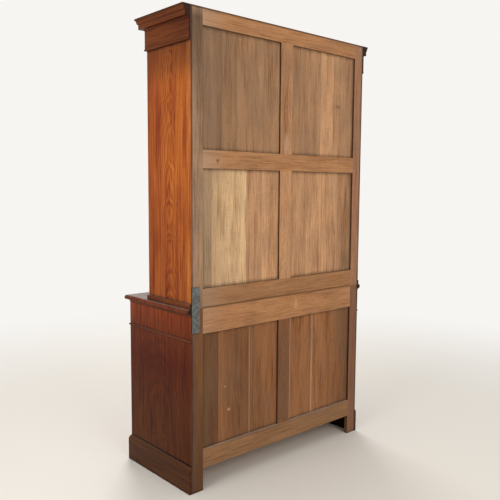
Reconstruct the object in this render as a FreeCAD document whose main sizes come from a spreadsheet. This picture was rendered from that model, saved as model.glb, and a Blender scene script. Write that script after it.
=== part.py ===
"""Tall two-stage mahogany cupboard: glazed doors over two drawers and two panelled doors.

Lengths are millimetres. Z is up, the front looks towards -Y and the back towards +Y. The
origin is on the floor, at the centre of the whole cupboard's plan. The right half (+X) is
built and the left half is its mirror image, apart from the locks and the joining plate.
"""
import FreeCAD, Part
import os
import re
import Sketcher

V = FreeCAD.Vector

# Driving sizes. Each can be set by itself.
SIZES = {
    # whole cupboard
    "total_height": 2350,
    "carcass_width": 1264,
    "upper_depth": 367,
    "lower_depth": 559,
    "waist_height": 928,
    # carcass boards
    "side_thick": 22,
    "board_thick": 22,
    "rail_thick": 22,
    "shelf_thick": 20,
    "housing_depth": 7,
    "roof_drop": 66,
    "cut_overrun": 5,
    "touch_tolerance": 0.01,
    # oak back: frames in a rebate of the sides, with recessed panels
    "rear_lip": 10,
    "back_thick": 22,
    "back_stile_width": 61,
    "muntin_width": 88,
    "panel_thick": 8,
    "panel_inset": 11,
    "panel_groove": 9,
    "panel_play": 1.5,
    "upper_back_top_rail": 82,
    "upper_back_mid_rail": 88,
    "upper_back_mid_height": 1648,
    "upper_back_low_rail": 94,
    "lower_back_top_rail": 130,
    "lower_back_low_rail": 98,
    "foot_height": 114,
    "tenon_length": 32,
    "tenon_cheek": 7,
    "tenon_shoulder": 10,
    # joining plate and its screws
    "plate_width": 46,
    "plate_height": 223,
    "plate_drop": 118,
    "plate_thick": 3,
    "plate_margin": 4,
    "screw_head_radius": 4.5,
    "screw_head_thick": 1.2,
    "screw_shank_radius": 2,
    "screw_length": 18,
    "screw_rise": 20,
    "screw_spacing": 34,
    # frieze and cornice
    "frieze_height": 158,
    "frieze_thick": 8,
    "frieze_bead_height": 12,
    "frieze_bead_reach": 11,
    "cornice_height": 63,
    "cornice_bed_height": 11,
    "cornice_bed_reach": 17,
    "cornice_fascia_height": 23,
    "cornice_fascia_reach": 31,
    "cornice_reach": 45,
    "cornice_fillet": 8,
    # foot moulding of the upper stage
    "base_moulding_height": 26,
    "base_moulding_reach": 8,
    "base_moulding_round": 6,
    # moulded top of the lower stage
    "top_thick": 24,
    "top_reach": 22,
    "top_nose_radius": 13,
    "top_under_radius": 8,
    "bed_height": 15,
    "bed_reach": 12,
    # drawer bead and plinth
    "bead_height": 10,
    "bead_reach": 6,
    "plinth_height": 138,
    "plinth_flat": 112,
    "plinth_reach": 13,
    "plinth_lip": 2,
    # sawtooth shelf supports
    "ratchet_thick": 13,
    "ratchet_width": 27,
    "ratchet_setback": 14,
    "ratchet_margin": 30,
    "tooth_pitch": 44,
    "tooth_rise": 37,
    "tooth_depth": 13,
    "bearer_height": 22,
    "shelf_play": 1.5,
    "lower_shelf_height": 445,
    "lower_shelf_setback": 40,
    "lower_bearer_width": 25,
    # drawer zone
    "drawer_zone": 150,
    "rail_depth": 60,
    "divider_thick": 22,
    "runner_width": 42,
    "dust_thick": 8,
    "dust_groove": 6,
    "guide_height": 26,
    "stop_length": 45,
    "stop_width": 9,
    "stop_height": 5,
    "stop_play": 0.3,
    # drawers
    "drawer_gap": 1.5,
    "drawer_float": 0.3,
    "drawer_front_thick": 22,
    "drawer_side_thick": 10,
    "drawer_back_thick": 10,
    "drawer_length": 500,
    "drawer_lap": 8,
    "drawer_side_drop": 4,
    "drawer_bottom_thick": 6,
    "drawer_bottom_rise": 8,
    "drawer_bottom_groove": 5,
    # turned knobs
    "knob_reach": 38,
    "knob_radius": 23,
    "knob_neck_radius": 11,
    "knob_foot_radius": 17,
    "knob_spigot_radius": 8,
    "knob_inset": 130,
    # doors
    "door_gap": 1.5,
    "door_clearance": 2,
    "door_thick": 21.5,
    "stile_width": 60,
    "upper_top_rail": 66,
    "upper_low_rail": 88,
    "lower_top_rail": 62,
    "lower_low_rail": 80,
    "meeting_bead_width": 8,
    "meeting_bead_reach": 5,
    "door_stop_width": 12,
    "door_stop_height": 10,
    # glazing
    "glass_thick": 3,
    "glass_depth": 10,
    "glass_play": 1,
    "rebate_width": 9,
    "sticking_width": 10,
    "sticking_setback": 2,
    "glazing_bead_round": 6,
    # fielded door panels
    "tongue_thick": 6,
    "tongue_depth": 8,
    "panel_moulding_width": 14,
    "panel_moulding_setback": 1,
    "bevel_margin": 16,
    "bevel_width": 38,
    "bevel_height": 4,
    "field_step": 1.5,
    # butt hinges
    "hinge_height": 75,
    "hinge_inset": 150,
    "leaf_thick": 1.6,
    "leaf_width": 18,
    "barrel_radius": 3.5,
    "barrel_gap": 0.3,
    "pin_radius": 1.5,
    "pin_play": 0.05,
    "knuckle_play": 0.15,
    # locks
    "upper_lock_height": 1500,
    "lower_lock_height": 500,
    "case_width": 56,
    "case_height": 48,
    "case_thick": 11,
    "case_wall": 1.5,
    "case_setback": 0.5,
    "case_rise": 3,
    "bolt_height": 9,
    "bolt_thick": 5,
    "bolt_rise": 6.6,
    "bolt_play": 0.3,
    "bolt_throw": 10,
    "talon_width": 13,
    "talon_depth": 3.6,
    "keep_width": 18,
    # keys
    "key_shank_radius": 2.6,
    "key_play": 0.5,
    "key_bit_radius": 9,
    "key_bit_width": 2.4,
    "bow_radius": 11,
    "bow_eye_radius": 6.5,
    "bow_thick": 3.6,
    "bow_centre": 22,
    "collar_radius": 4,
    "collar_length": 3,
    "escutcheon_radius": 14,
    "escutcheon_thick": 1.2,
    # slide bolts on the left doors
    "slide_plate_width": 18,
    "slide_plate_height": 96,
    "slide_plate_thick": 1.5,
    "slide_plate_drop": 14,
    "slide_rod_radius": 3.5,
    "slide_rod_play": 0.3,
    "slide_rod_end": 2,
    "slide_loop_height": 12,
    "slide_loop_wall": 2.5,
    "slide_throw": 12,
    "slide_knob_radius": 4.5,
    "slide_knob_length": 9,
}

# Shapes that keep their proportions, as shares of the lengths that they follow
QUARTER_SHARE = 0.7072
HALF_SHARE = 0.5002
HOLLOW_SHARE = 0.85
CYMA_SHARE = 0.8
PLINTH_EDGE_SHARE = 1.4
PANEL_EDGE_SHARE = 1.2
TAIL_ROOT_SHARE = 0.29
TAIL_TIP_SHARE = 0.40
KNOB_FOOT_SHARE = 0.12
KNOB_NECK_SHARE = 0.42
KNOB_RIM_SHARES = (0.64, 0.78)
KNOB_DOME_SHARE = 1.1
KNOB_FACE_SHARE = 0.25
BLOCK_SHARES = (0.2, 0.5, 0.8)
SHELF_SHARES = (0.23, 0.48, 0.73)

# Counts
DOVETAILS = 4
KNUCKLES = 3
UPPER_HINGES = 3
LOWER_HINGES = 2

# Places worked out from the sizes
PLACES = {
    "side_x": "carcass_width / 2",
    "inner_x": "side_x - side_thick",
    "lip_x": "side_x - rear_lip",
    "stile_x": "lip_x - back_stile_width",
    "muntin_x": "muntin_width / 2",
    "back_y": "(lower_depth + knob_reach - plate_thick - screw_head_thick) / 2",
    "frame_y": "back_y - back_thick",
    "panel_rear": "back_y - panel_inset",
    "panel_face": "panel_rear - panel_thick",
    "upper_front": "back_y - upper_depth",
    "lower_front": "back_y - lower_depth",
    "frieze_low": "total_height - frieze_height",
    "cornice_low": "total_height - cornice_height",
    "roof_top": "total_height - roof_drop",
    "roof_low": "roof_top - board_thick",
    "upper_floor": "waist_height + base_moulding_height",
    "top_low": "waist_height - top_thick",
    "drawer_floor": "waist_height - drawer_zone",
    "drawer_ceiling": "top_low - rail_thick",
    "rail_low": "drawer_floor - rail_thick",
    "lower_floor": "plinth_height",
    "floor_low": "lower_floor - board_thick",
    "mid_rail_low": "upper_back_mid_height - upper_back_mid_rail / 2",
    "mid_rail_high": "upper_back_mid_height + upper_back_mid_rail / 2",
    "upper_pane_low": "waist_height + upper_back_low_rail",
    "upper_pane_high": "total_height - upper_back_top_rail",
    "lower_pane_low": "foot_height + lower_back_low_rail",
    "lower_pane_high": "waist_height - lower_back_top_rail",
    "ratchet_x": "inner_x - ratchet_thick",
    "tooth_count": "floor((roof_low - upper_floor - 2 * ratchet_margin) / tooth_pitch)",
    "ratchet_front": "upper_front + rail_thick + ratchet_setback",
    "teeth_front": "ratchet_front + ratchet_width",
    "teeth_rear": "frame_y - ratchet_width",
    "drawer_in": "divider_thick / 2 + drawer_gap",
    "drawer_out": "inner_x - drawer_gap",
    "drawer_low": "drawer_floor + drawer_float",
    "drawer_high": "drawer_ceiling - drawer_gap",
    "drawer_side_high": "drawer_high - drawer_side_drop",
    "drawer_rear": "lower_front + drawer_length",
    "drawer_bottom_low": "drawer_low + drawer_bottom_rise",
    "drawer_back_low": "drawer_bottom_low + drawer_bottom_thick",
    "drawer_in_wall": "drawer_in + drawer_side_thick",
    "drawer_out_wall": "drawer_out - drawer_side_thick",
    "meeting_x": "door_gap / 2",
    "hinge_x": "inner_x - door_gap",
    "pin_x": "inner_x - door_gap / 2",
    "key_x": "meeting_x + stile_width / 2",
    "case_x": "meeting_x + case_setback",
}


def spelled(text):
    """The sum with every worked-out place written out and every size read from the sheet."""
    def word(match):
        name = match.group()
        if name in PLACES:
            return "(" + spelled(PLACES[name]) + ")"
        if name in SIZES:
            return "sizes." + name
        return name
    return re.sub(r"[a-z][a-z_0-9]*", word, text)


doc = FreeCAD.newDocument("cupboard")
sheet = doc.addObject("Spreadsheet::Sheet", "sizes")
for row, (alias, number) in enumerate(SIZES.items(), start=1):
    sheet.set(f"A{row}", alias)
    sheet.set(f"B{row}", str(number))
    sheet.setAlias(f"B{row}", alias)
doc.recompute()

NODES = {}


def bind(thing, sums):
    """Ties each property of the thing to its sum of sizes."""
    for prop, text in sums.items():
        thing.setExpression(prop, spelled(text))


def value(text):
    """What a sum of sizes comes to now."""
    return float(sheet.evalExpression(spelled(text)))


def node(label, *solids):
    """A sub-part: one solid, or a group of like solids that share a name."""
    if len(solids) == 1:
        thing = solids[0]
    else:
        thing = doc.addObject("Part::Compound", label + "_group")
        thing.Links = list(solids)
    thing.Label = label
    NODES[label] = thing


def board(name, x, y, z):
    """A box from a low to a high place on each axis."""
    box = doc.addObject("Part::Box", name)
    for side, axis, (low, high) in zip(("Length", "Width", "Height"), "xyz", (x, y, z)):
        bind(box, {side: f"({high}) - ({low})", "Placement.Base." + axis: low})
    return box


def rod(name, axis, across, low, high, radius):
    """A cylinder along an axis; across holds its two other coordinates in X, Y, Z order."""
    cylinder = doc.addObject("Part::Cylinder", name)
    along = {"x": V(1, 0, 0), "y": V(0, 1, 0), "z": V(0, 0, 1)}[axis]
    cylinder.Placement = FreeCAD.Placement(V(), FreeCAD.Rotation(V(0, 0, 1), along))
    places = dict(zip([letter for letter in "xyz" if letter != axis], across))
    places[axis] = low
    bind(cylinder, {"Radius": radius, "Height": f"({high}) - ({low})"})
    bind(cylinder, {"Placement.Base." + letter: place for letter, place in places.items()})
    return cylinder


def cut(name, base, *tools):
    """The base less every tool."""
    result = doc.addObject("Part::Cut", name)
    result.Base = base
    if len(tools) == 1:
        result.Tool = tools[0]
    else:
        result.Tool = doc.addObject("Part::MultiFuse", name + "_tools")
        result.Tool.Shapes = list(tools)
    return result


def fuse(name, *shapes):
    result = doc.addObject("Part::MultiFuse", name)
    result.Shapes = list(shapes)
    return result


def mirrored(name, source):
    """The same piece on the left side."""
    twin = doc.addObject("Part::Mirroring", name)
    twin.Source = source
    twin.Normal = V(1, 0, 0)
    return twin


def tenoned(name, along, thin, x, y, z, length="tenon_length"):
    """A rail or muntin with a tenon at each end, set in from its faces and edges."""
    ranges = dict(zip("xyz", (x, y, z)))
    tongue = {}
    for axis, (low, high) in ranges.items():
        if axis == along:
            tongue[axis] = (f"({low}) - {length}", f"({high}) + {length}")
        else:
            inset = "tenon_cheek" if axis == thin else "tenon_shoulder"
            tongue[axis] = (f"({low}) + {inset}", f"({high}) - {inset}")
    return fuse(name, board(name + "_bar", x, y, z), board(name + "_tenon", *tongue.values()))


PLANES = {"x": ("YZ_Plane", "{}"), "y": ("XZ_Plane", "-({})"), "z": ("XY_Plane", "{}")}


def arc_between(start, end, share):
    """An arc whose radius is a share of its chord, and whether it runs clockwise.

    A positive share bulges to the right of the way from start to end.
    """
    chord = end - start
    radius = abs(share) * chord.Length
    sagitta = radius - (radius ** 2 - chord.Length ** 2 / 4) ** 0.5
    side = V(chord.y, -chord.x, 0).normalize() * (sagitta if share > 0 else -sagitta)
    clockwise = share < 0
    ends = (end, start) if clockwise else (start, end)
    return Part.Arc(ends[0], (start + end) / 2 + side, ends[1]), clockwise


def draw_loop(sketch, corners):
    """A closed outline. A corner is two sums, and a third entry is the share of an arc to the next."""
    count = len(corners)
    places = [V(value(corner[0]), value(corner[1]), 0) for corner in corners]
    ends = []
    for index, corner in enumerate(corners):
        following = places[(index + 1) % count]
        clockwise = False
        if len(corner) == 3:
            geometry, clockwise = arc_between(places[index], following, corner[2])
        else:
            geometry = Part.LineSegment(places[index], following)
        ends.append((sketch.addGeometry(geometry), (2, 1) if clockwise else (1, 2)))
    for index, (line, (start, end)) in enumerate(ends):
        after, (after_start, _) = ends[(index + 1) % count]
        sketch.addConstraint(Sketcher.Constraint("Coincident", line, end, after, after_start))
        for kind, text, place in zip(("DistanceX", "DistanceY"), corners[index], places[index]):
            pin = sketch.addConstraint(Sketcher.Constraint(kind, -1, 1, line, start, place))
            sketch.setExpression(f"Constraints[{pin}]", spelled(text))
        if len(corners[index]) == 3:
            here, there = corners[index], corners[(index + 1) % count]
            chord = f"sqrt((({there[0]}) - ({here[0]}))^2 + (({there[1]}) - ({here[1]}))^2)"
            text = f"{abs(here[2])} * {chord}"
            pin = sketch.addConstraint(Sketcher.Constraint("Radius", line, value(text)))
            sketch.setExpression(f"Constraints[{pin}]", spelled(text))


def draw(body, axis, at, outlines):
    """A sketch across an axis at a place along it, on the body's own plane."""
    plane, offset = PLANES[axis]
    sketch = body.newObject("Sketcher::SketchObject", body.Name + "_sketch")
    origin = next(part for part in body.Origin.OriginFeatures if part.Role == plane)
    sketch.AttachmentSupport = [(origin, "")]
    sketch.MapMode = "FlatFace"
    bind(sketch, {"AttachmentOffset.Base.z": offset.format(at)})
    for corners in outlines:
        draw_loop(sketch, corners)
    return sketch


def prism(name, axis, corners, low, high):
    """A body padded along an axis from an outline in the two other coordinates."""
    body = doc.addObject("PartDesign::Body", name)
    start = high if axis == "y" else low
    pad = body.newObject("PartDesign::Pad", name + "_pad")
    pad.Profile = draw(body, axis, start, [corners])
    bind(pad, {"Length": f"({high}) - ({low})"})
    body.Tip = pad
    return body


def pocket(body, axis, outlines):
    """Cuts outlines, given across an axis, right through the body both ways."""
    notch = body.newObject("PartDesign::Pocket", body.Name + "_pocket")
    notch.Profile = draw(body, axis, "0", outlines)
    notch.SideType = "Symmetric"
    bind(notch, {"Length": "4 * total_height"})
    body.Tip = notch
    return notch


def surround(name, front, reach, profile):
    """Two returns and a front length of a moulding round the carcass, mitred at the corners.

    The profile's corners are the reach from the carcass face and the height.
    """
    side, over = "side_x", f"({reach}) + cut_overrun"
    inner = (f"{side} - cut_overrun", f"({front}) + cut_overrun")
    tip = (f"{side} + {over}", f"({front}) - ({over})")
    outline = [(f"{side} + ({corner[0]})", *corner[1:]) for corner in profile]
    back = prism(name + "_right", "y", outline, f"({front}) - ({reach})", "back_y")
    pocket(back, "z", [[inner, tip, (inner[0], tip[1])]])
    outline = [(f"({front}) - ({corner[0]})", corner[1], *[-share for share in corner[2:]])
               for corner in profile]
    face = prism(name + "_front", "x", outline, f"-({side} + ({reach}))", f"{side} + ({reach})")
    triangle = [inner, tip, (tip[0], inner[1])]
    pocket(face, "z", [triangle, [(f"-({corner[0]})", corner[1]) for corner in triangle]])
    return mirrored(name + "_left", back), face, back


def picture_frame(name, x, z, width, profile):
    """Four mitred lengths round the inside of an opening.

    The profile's corners are the distance into the opening and the place along Y.
    """
    (left, right), (low, high) = x, z
    over = f"({width}) + cut_overrun"
    pieces = []
    for end, sign in ((low, 1), (high, -1)):
        outline = [(corner[1], f"({end}) + {sign} * ({corner[0]})",
                    *[sign * share for share in corner[2:]]) for corner in profile]
        bar = prism(f"{name}_{'low' if sign > 0 else 'high'}", "x", outline, left, right)
        outer = f"({end}) - {sign} * cut_overrun"
        inner = f"({end}) + {sign} * ({over})"
        pocket(bar, "y", [
            [(f"({left}) - cut_overrun", outer), (f"({left}) + ({over})", inner),
             (f"({left}) - cut_overrun", inner)],
            [(f"({right}) + cut_overrun", outer), (f"({right}) - ({over})", inner),
             (f"({right}) + cut_overrun", inner)]])
        pieces.append(bar)
    for end, sign in ((left, 1), (right, -1)):
        outline = [(f"({end}) + {sign} * ({corner[0]})", corner[1],
                    *[-sign * share for share in corner[2:]]) for corner in profile]
        bar = prism(f"{name}_{'left' if sign > 0 else 'right'}", "z", outline, low, high)
        outer = f"({end}) - {sign} * cut_overrun"
        inner = f"({end}) + {sign} * ({over})"
        pocket(bar, "y", [
            [(outer, f"({low}) - cut_overrun"), (inner, f"({low}) + ({over})"),
             (inner, f"({low}) - cut_overrun")],
            [(outer, f"({high}) + cut_overrun"), (inner, f"({high}) - ({over})"),
             (inner, f"({high}) + cut_overrun")]])
        pieces.append(bar)
    return pieces


def butt_hinge(name, front, middle):
    """Fixed leaf with its pin, moving leaf, and the boxes of the two leaves' plates."""
    low = f"({middle}) - hinge_height / 2"
    pin_y = f"({front}) - barrel_radius - barrel_gap"
    plate_y = (front, f"({front}) + leaf_width")
    plate_z = (low, f"({low}) + hinge_height")
    fixed_x = ("inner_x", "inner_x + leaf_thick")
    moving_x = ("hinge_x - leaf_thick", "hinge_x")
    fixed_plate = board(name + "_fixed_plate", fixed_x, plate_y, plate_z)
    moving_plate = board(name + "_moving_plate", moving_x, plate_y, plate_z)
    leaves = {"fixed": [fixed_plate], "moving": [moving_plate]}
    for knuckle in range(KNUCKLES):
        kind = ("fixed", "moving")[knuckle % 2]
        play = "knuckle_play" if kind == "moving" else "0"
        span = (f"({low}) + {knuckle} * hinge_height / {KNUCKLES} + {play}",
                f"({low}) + {knuckle + 1} * hinge_height / {KNUCKLES} - {play}")
        across = fixed_x if kind == "fixed" else moving_x
        leaves[kind] += [
            board(f"{name}_tab_{knuckle}", across, (pin_y, front), span),
            rod(f"{name}_barrel_{knuckle}", "z", ("pin_x", pin_y), *span, "barrel_radius")]
    # The pin is fast in the fixed knuckles and turns in the moving one
    pin = rod(name + "_pin", "z", ("pin_x", pin_y), *plate_z, "pin_radius")
    bore = rod(name + "_bore", "z", ("pin_x", pin_y), *plate_z, "pin_radius + pin_play")
    fixed = fuse(name + "_fixed", *leaves["fixed"], pin)
    moving = cut(name + "_moving", fuse(name + "_moving_leaf", *leaves["moving"]), bore)
    return fixed, moving, fixed_plate, moving_plate


def hinge_places(low, high, count):
    """Heights of the hinges: one near each end of the door and the rest evenly between."""
    first, last = f"({low}) + hinge_inset", f"({high}) - hinge_inset"
    return [f"({first}) + {index} * (({last}) - ({first})) / {count - 1}" for index in range(count)]


# Hinges come first, because the doors and the sides are recessed for their leaves
UPPER_DOOR = ("upper_floor + door_clearance", "frieze_low - door_clearance")
LOWER_DOOR = ("lower_floor + door_clearance", "rail_low - door_clearance")
hinges = {}
for stage, front, (low, high), count in (("upper", "upper_front", UPPER_DOOR, UPPER_HINGES),
                                         ("lower", "lower_front", LOWER_DOOR, LOWER_HINGES)):
    hinges[stage] = [butt_hinge(f"{stage}_hinge_{index}", front, middle)
                     for index, middle in enumerate(hinge_places(low, high, count))]

fixed_leaves = [fixed for stage in hinges.values() for fixed, *_ in stage]
node("carcass_hinge_leaves", *fixed_leaves,
     *[mirrored(piece.Name + "_left", piece) for piece in fixed_leaves])


# Upper carcass
roof = board("roof", ("-(inner_x + housing_depth)", "inner_x + housing_depth"),
             ("upper_front + rail_thick", "frame_y"), ("roof_low", "roof_top"))
node("upper_top_board", roof)
upper_base = board("upper_base", ("-(inner_x + housing_depth)", "inner_x + housing_depth"),
                   ("upper_front", "frame_y"), ("upper_floor - board_thick", "upper_floor"))
node("upper_bottom_board", upper_base)
upper_rail = tenoned("upper_rail", "x", "y", ("-inner_x", "inner_x"),
                     ("upper_front", "upper_front + rail_thick"),
                     ("frieze_low", "total_height"), "housing_depth")
node("upper_front_rail", upper_rail)
upper_side = cut(
    "upper_side",
    board("upper_side_board", ("inner_x", "side_x"), ("upper_front", "back_y"),
          ("waist_height", "total_height")),
    board("upper_side_rebate", ("inner_x - cut_overrun", "lip_x"),
          ("frame_y", "back_y + cut_overrun"),
          ("waist_height - cut_overrun", "total_height + cut_overrun")),
    roof, upper_base, upper_rail, *[hinge[2] for hinge in hinges["upper"]])
node("upper_side_right", upper_side)
node("upper_side_left", mirrored("upper_side_twin", upper_side))


# Lower carcass
lower_base = board("lower_base", ("-(inner_x + housing_depth)", "inner_x + housing_depth"),
                   ("lower_front", "frame_y"), ("floor_low", "lower_floor"))
node("lower_bottom_board", lower_base)
plinth_rail = tenoned("plinth_rail", "x", "y", ("-inner_x", "inner_x"),
                      ("lower_front", "lower_front + rail_thick"),
                      ("0", "floor_low"), "housing_depth")
top_rail = tenoned("top_rail", "x", "z", ("-inner_x", "inner_x"),
                   ("lower_front", "lower_front + rail_depth"),
                   ("drawer_ceiling", "top_low"), "housing_depth")
drawer_rail = tenoned("drawer_rail", "x", "z", ("-inner_x", "inner_x"),
                      ("lower_front", "lower_front + rail_depth"),
                      ("rail_low", "drawer_floor"), "housing_depth")
lower_side = cut(
    "lower_side",
    board("lower_side_board", ("inner_x", "side_x"), ("lower_front", "back_y"),
          ("0", "top_low")),
    board("lower_side_rebate", ("inner_x - cut_overrun", "lip_x"),
          ("frame_y", "back_y + cut_overrun"), ("-cut_overrun", "top_low + cut_overrun")),
    lower_base, plinth_rail, top_rail, drawer_rail, *[hinge[2] for hinge in hinges["lower"]])
node("lower_side_right", lower_side)
node("lower_side_left", mirrored("lower_side_twin", lower_side))

# The top is notched behind for the oak back, and its nose is rounded on three sides
top_edge = "side_x + top_reach"
right_edge = [(top_edge, "lower_front - top_reach"), (top_edge, "back_y"),
              ("lip_x", "back_y"), ("lip_x", "frame_y")]
top = prism("lower_top", "z",
            right_edge + [(f"-({corner[0]})", corner[1]) for corner in reversed(right_edge)],
            "top_low", "waist_height")
doc.recompute()
near = value("touch_tolerance")
for level, radius in (("waist_height", "top_nose_radius"), ("top_low", "top_under_radius")):
    board_before = top.Tip
    nose = []
    for index, edge in enumerate(board_before.Shape.Edges, start=1):
        box = edge.BoundBox
        flat = abs(box.ZMin - value(level)) < near and box.ZLength < near
        front_edge = abs(box.YMax - value("lower_front - top_reach")) < near
        side_edge = min(abs(box.XMin), abs(box.XMax)) > value(top_edge) - near
        if flat and (front_edge or side_edge):
            nose.append(f"Edge{index}")
    rounding = top.newObject("PartDesign::Fillet", "lower_top_nose_" + level)
    rounding.Base = (board_before, nose)
    bind(rounding, {"Radius": radius})
    top.Tip = rounding
    doc.recompute()
node("lower_top_board", top)


# Mouldings round the carcass
def half_round(low, height, reach):
    """The profile of a bead: a half circle on a short flat."""
    flat, high = f"{reach} - {height} / 2", f"{low} + {height}"
    return [("0", low), (flat, low, HALF_SHARE), (flat, high), ("0", high)]


frieze_boards = surround("frieze", "upper_front", "frieze_thick", [
    ("0", "frieze_low + frieze_bead_height"), ("frieze_thick", "frieze_low + frieze_bead_height"),
    ("frieze_thick", "cornice_low"), ("0", "cornice_low")])
frieze_beads = surround("frieze_bead", "upper_front", "frieze_bead_reach",
                        half_round("frieze_low", "frieze_bead_height", "frieze_bead_reach"))
node("frieze", *frieze_boards, *frieze_beads)
fascia_low = "cornice_low + cornice_bed_height"
fascia_high = f"{fascia_low} + cornice_fascia_height"
fillet_low = "total_height - cornice_fillet"
cyma_x = "(cornice_fascia_reach + cornice_reach) / 2"
node("cornice_moulding", *surround("cornice", "upper_front", "cornice_reach", [
    ("0", "cornice_low"), ("frieze_thick", "cornice_low", -HOLLOW_SHARE),
    ("cornice_bed_reach", fascia_low), ("cornice_fascia_reach", fascia_low),
    ("cornice_fascia_reach", fascia_high, CYMA_SHARE),
    (cyma_x, f"(({fascia_high}) + ({fillet_low})) / 2", -CYMA_SHARE),
    ("cornice_reach", fillet_low), ("cornice_reach", "total_height"), ("0", "total_height")]))
node("upper_base_moulding", *surround("upper_base_moulding", "upper_front", "base_moulding_reach", [
    ("0", "waist_height"), ("base_moulding_reach", "waist_height"),
    ("base_moulding_reach", "upper_floor - base_moulding_round", QUARTER_SHARE),
    ("base_moulding_reach - base_moulding_round", "upper_floor"), ("0", "upper_floor")]))
node("top_bed_moulding", *surround("top_bed", "lower_front", "bed_reach", [
    ("0", "top_low - bed_height", -HOLLOW_SHARE), ("bed_reach", "top_low"), ("0", "top_low")]))
node("drawer_bead", *surround("drawer_bead", "lower_front", "bead_reach", half_round(
    "drawer_floor - rail_thick / 2 - bead_height / 2", "bead_height", "bead_reach")))
plinth = surround("plinth", "lower_front", "plinth_reach", [
    ("0", "0"), ("plinth_reach", "0"),
    ("plinth_reach", "plinth_flat", PLINTH_EDGE_SHARE), ("plinth_lip", "plinth_height"),
    ("0", "plinth_height")])
node("plinth", *plinth, plinth_rail)


# Oak backs: stiles, rails and muntins grooved for panels
FRAME_Y = ("frame_y", "back_y")
PANEL_Y = ("panel_face", "panel_rear")


def back_panel(name, x, z):
    """The panel, which stands on the foot of its groove, and the groove round it."""
    (left, right), (low, high) = x, z
    groove = board(name + "_groove", (f"({left}) - panel_groove", f"({right}) + panel_groove"),
                   PANEL_Y, (f"({low}) - panel_groove", f"({high}) + panel_groove"))
    panel = board(name, (f"({left}) - panel_groove + panel_play",
                         f"({right}) + panel_groove - panel_play"),
                  PANEL_Y, (f"({low}) - panel_groove", f"({high}) + panel_groove - panel_play"))
    return panel, groove


def oak_back(stage, rows, rails, low, high):
    """A framed back: rows of panes between rails, two panes to a row."""
    panels, grooves, bars, muntins = [], [], [], []
    for index, row in enumerate(rows):
        for side, pane in (("left", ("-stile_x", "-muntin_x")), ("right", ("muntin_x", "stile_x"))):
            panel, groove = back_panel(f"{stage}_back_panel_{side}_{index}", pane, row)
            panels.append(panel)
            grooves.append(groove)
        muntins.append(tenoned(f"{stage}_muntin_bar_{index}", "z", "y",
                               ("-muntin_x", "muntin_x"), FRAME_Y, row))
    for index, span in enumerate(rails):
        bars.append(tenoned(f"{stage}_rail_bar_{index}", "x", "y",
                            ("-stile_x", "stile_x"), FRAME_Y, span))
    stile = cut(f"{stage}_stile", board(f"{stage}_stile_board", ("stile_x", "lip_x"), FRAME_Y,
                                        (low, high)), *bars, *grooves[1::2])
    rail_solids = [cut(f"{stage}_back_rail_{index}", bar, *muntins, *grooves)
                   for index, bar in enumerate(bars)]
    muntin_solids = [cut(f"{stage}_muntin_{index}", muntin, *grooves[2 * index:2 * index + 2])
                     for index, muntin in enumerate(muntins)]
    return stile, rail_solids, muntin_solids, panels


upper_stile, upper_rails, upper_muntins, upper_panels = oak_back(
    "upper", [("upper_pane_low", "mid_rail_low"), ("mid_rail_high", "upper_pane_high")],
    [("waist_height", "upper_pane_low"), ("mid_rail_low", "mid_rail_high"),
     ("upper_pane_high", "total_height")], "waist_height", "total_height")
lower_stile, lower_rails, lower_muntins, lower_panels = oak_back(
    "lower", [("lower_pane_low", "lower_pane_high")],
    [("foot_height", "lower_pane_low"), ("lower_pane_high", "waist_height")],
    "0", "waist_height")

# The joining plate lies across the joint of the stages, at the right of the back
plate_x = ("side_x - plate_margin - plate_width", "side_x - plate_margin")
plate_z = ("waist_height - plate_drop", "waist_height - plate_drop + plate_height")
screws = []
for row, level in enumerate(("waist_height - screw_rise - screw_spacing", "waist_height - screw_rise",
                             "waist_height + screw_rise", "waist_height + screw_rise + screw_spacing")):
    place = (f"({plate_x[0]} + {plate_x[1]}) / 2", level)
    screws.append(fuse(
        f"plate_screw_{row}",
        rod(f"screw_head_{row}", "y", place, "back_y + plate_thick",
            "back_y + plate_thick + screw_head_thick", "screw_head_radius"),
        rod(f"screw_shank_{row}", "y", place, "back_y + plate_thick - screw_length",
            "back_y + plate_thick", "screw_shank_radius")))
node("joining_plate", cut("plate", board("plate_blank", plate_x, ("back_y", "back_y + plate_thick"),
                                         plate_z), *screws))
node("plate_screws", *screws)

node("upper_back_stiles", mirrored("upper_stile_left", upper_stile),
     cut("upper_stile_right", upper_stile, *screws[2:]))
node("upper_back_rails", *upper_rails)
node("upper_back_muntins", *upper_muntins)
node("upper_back_panels", *upper_panels)
node("lower_back_frame", mirrored("lower_stile_left", lower_stile),
     cut("lower_stile_right", lower_stile, *screws[:2]), *lower_rails, *lower_muntins)
node("lower_back_panels", *lower_panels)


# Sawtooth ratchets, the bearers that hang in their teeth, and the shelves
RATCHET_Z = ("upper_floor", "roof_low")
TOOTH_LOW = "upper_floor + ratchet_margin"


def ratchet(name, y, edge, inward):
    """An upright with a row of teeth along one edge; inward is the sign from the edge to the wood."""
    body = prism(name, "x", [(y[0], RATCHET_Z[0]), (y[1], RATCHET_Z[0]),
                             (y[1], RATCHET_Z[1]), (y[0], RATCHET_Z[1])], "ratchet_x", "inner_x")
    beyond = f"({edge}) - {inward} * cut_overrun"
    slope_end = f"{TOOTH_LOW} + tooth_rise * (tooth_depth + cut_overrun) / tooth_depth"
    notch = pocket(body, "x", [[(beyond, TOOTH_LOW), (f"({edge}) + {inward} * tooth_depth", TOOTH_LOW),
                                (beyond, slope_end)]])
    teeth = body.newObject("PartDesign::LinearPattern", name + "_teeth")
    teeth.Originals = [notch]
    teeth.Direction = (notch.Profile[0], ["V_Axis"])
    teeth.Mode = "Spacing"
    bind(teeth, {"Offset": "tooth_pitch", "Occurrences": "tooth_count"})
    body.Tip = teeth
    return body


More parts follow.
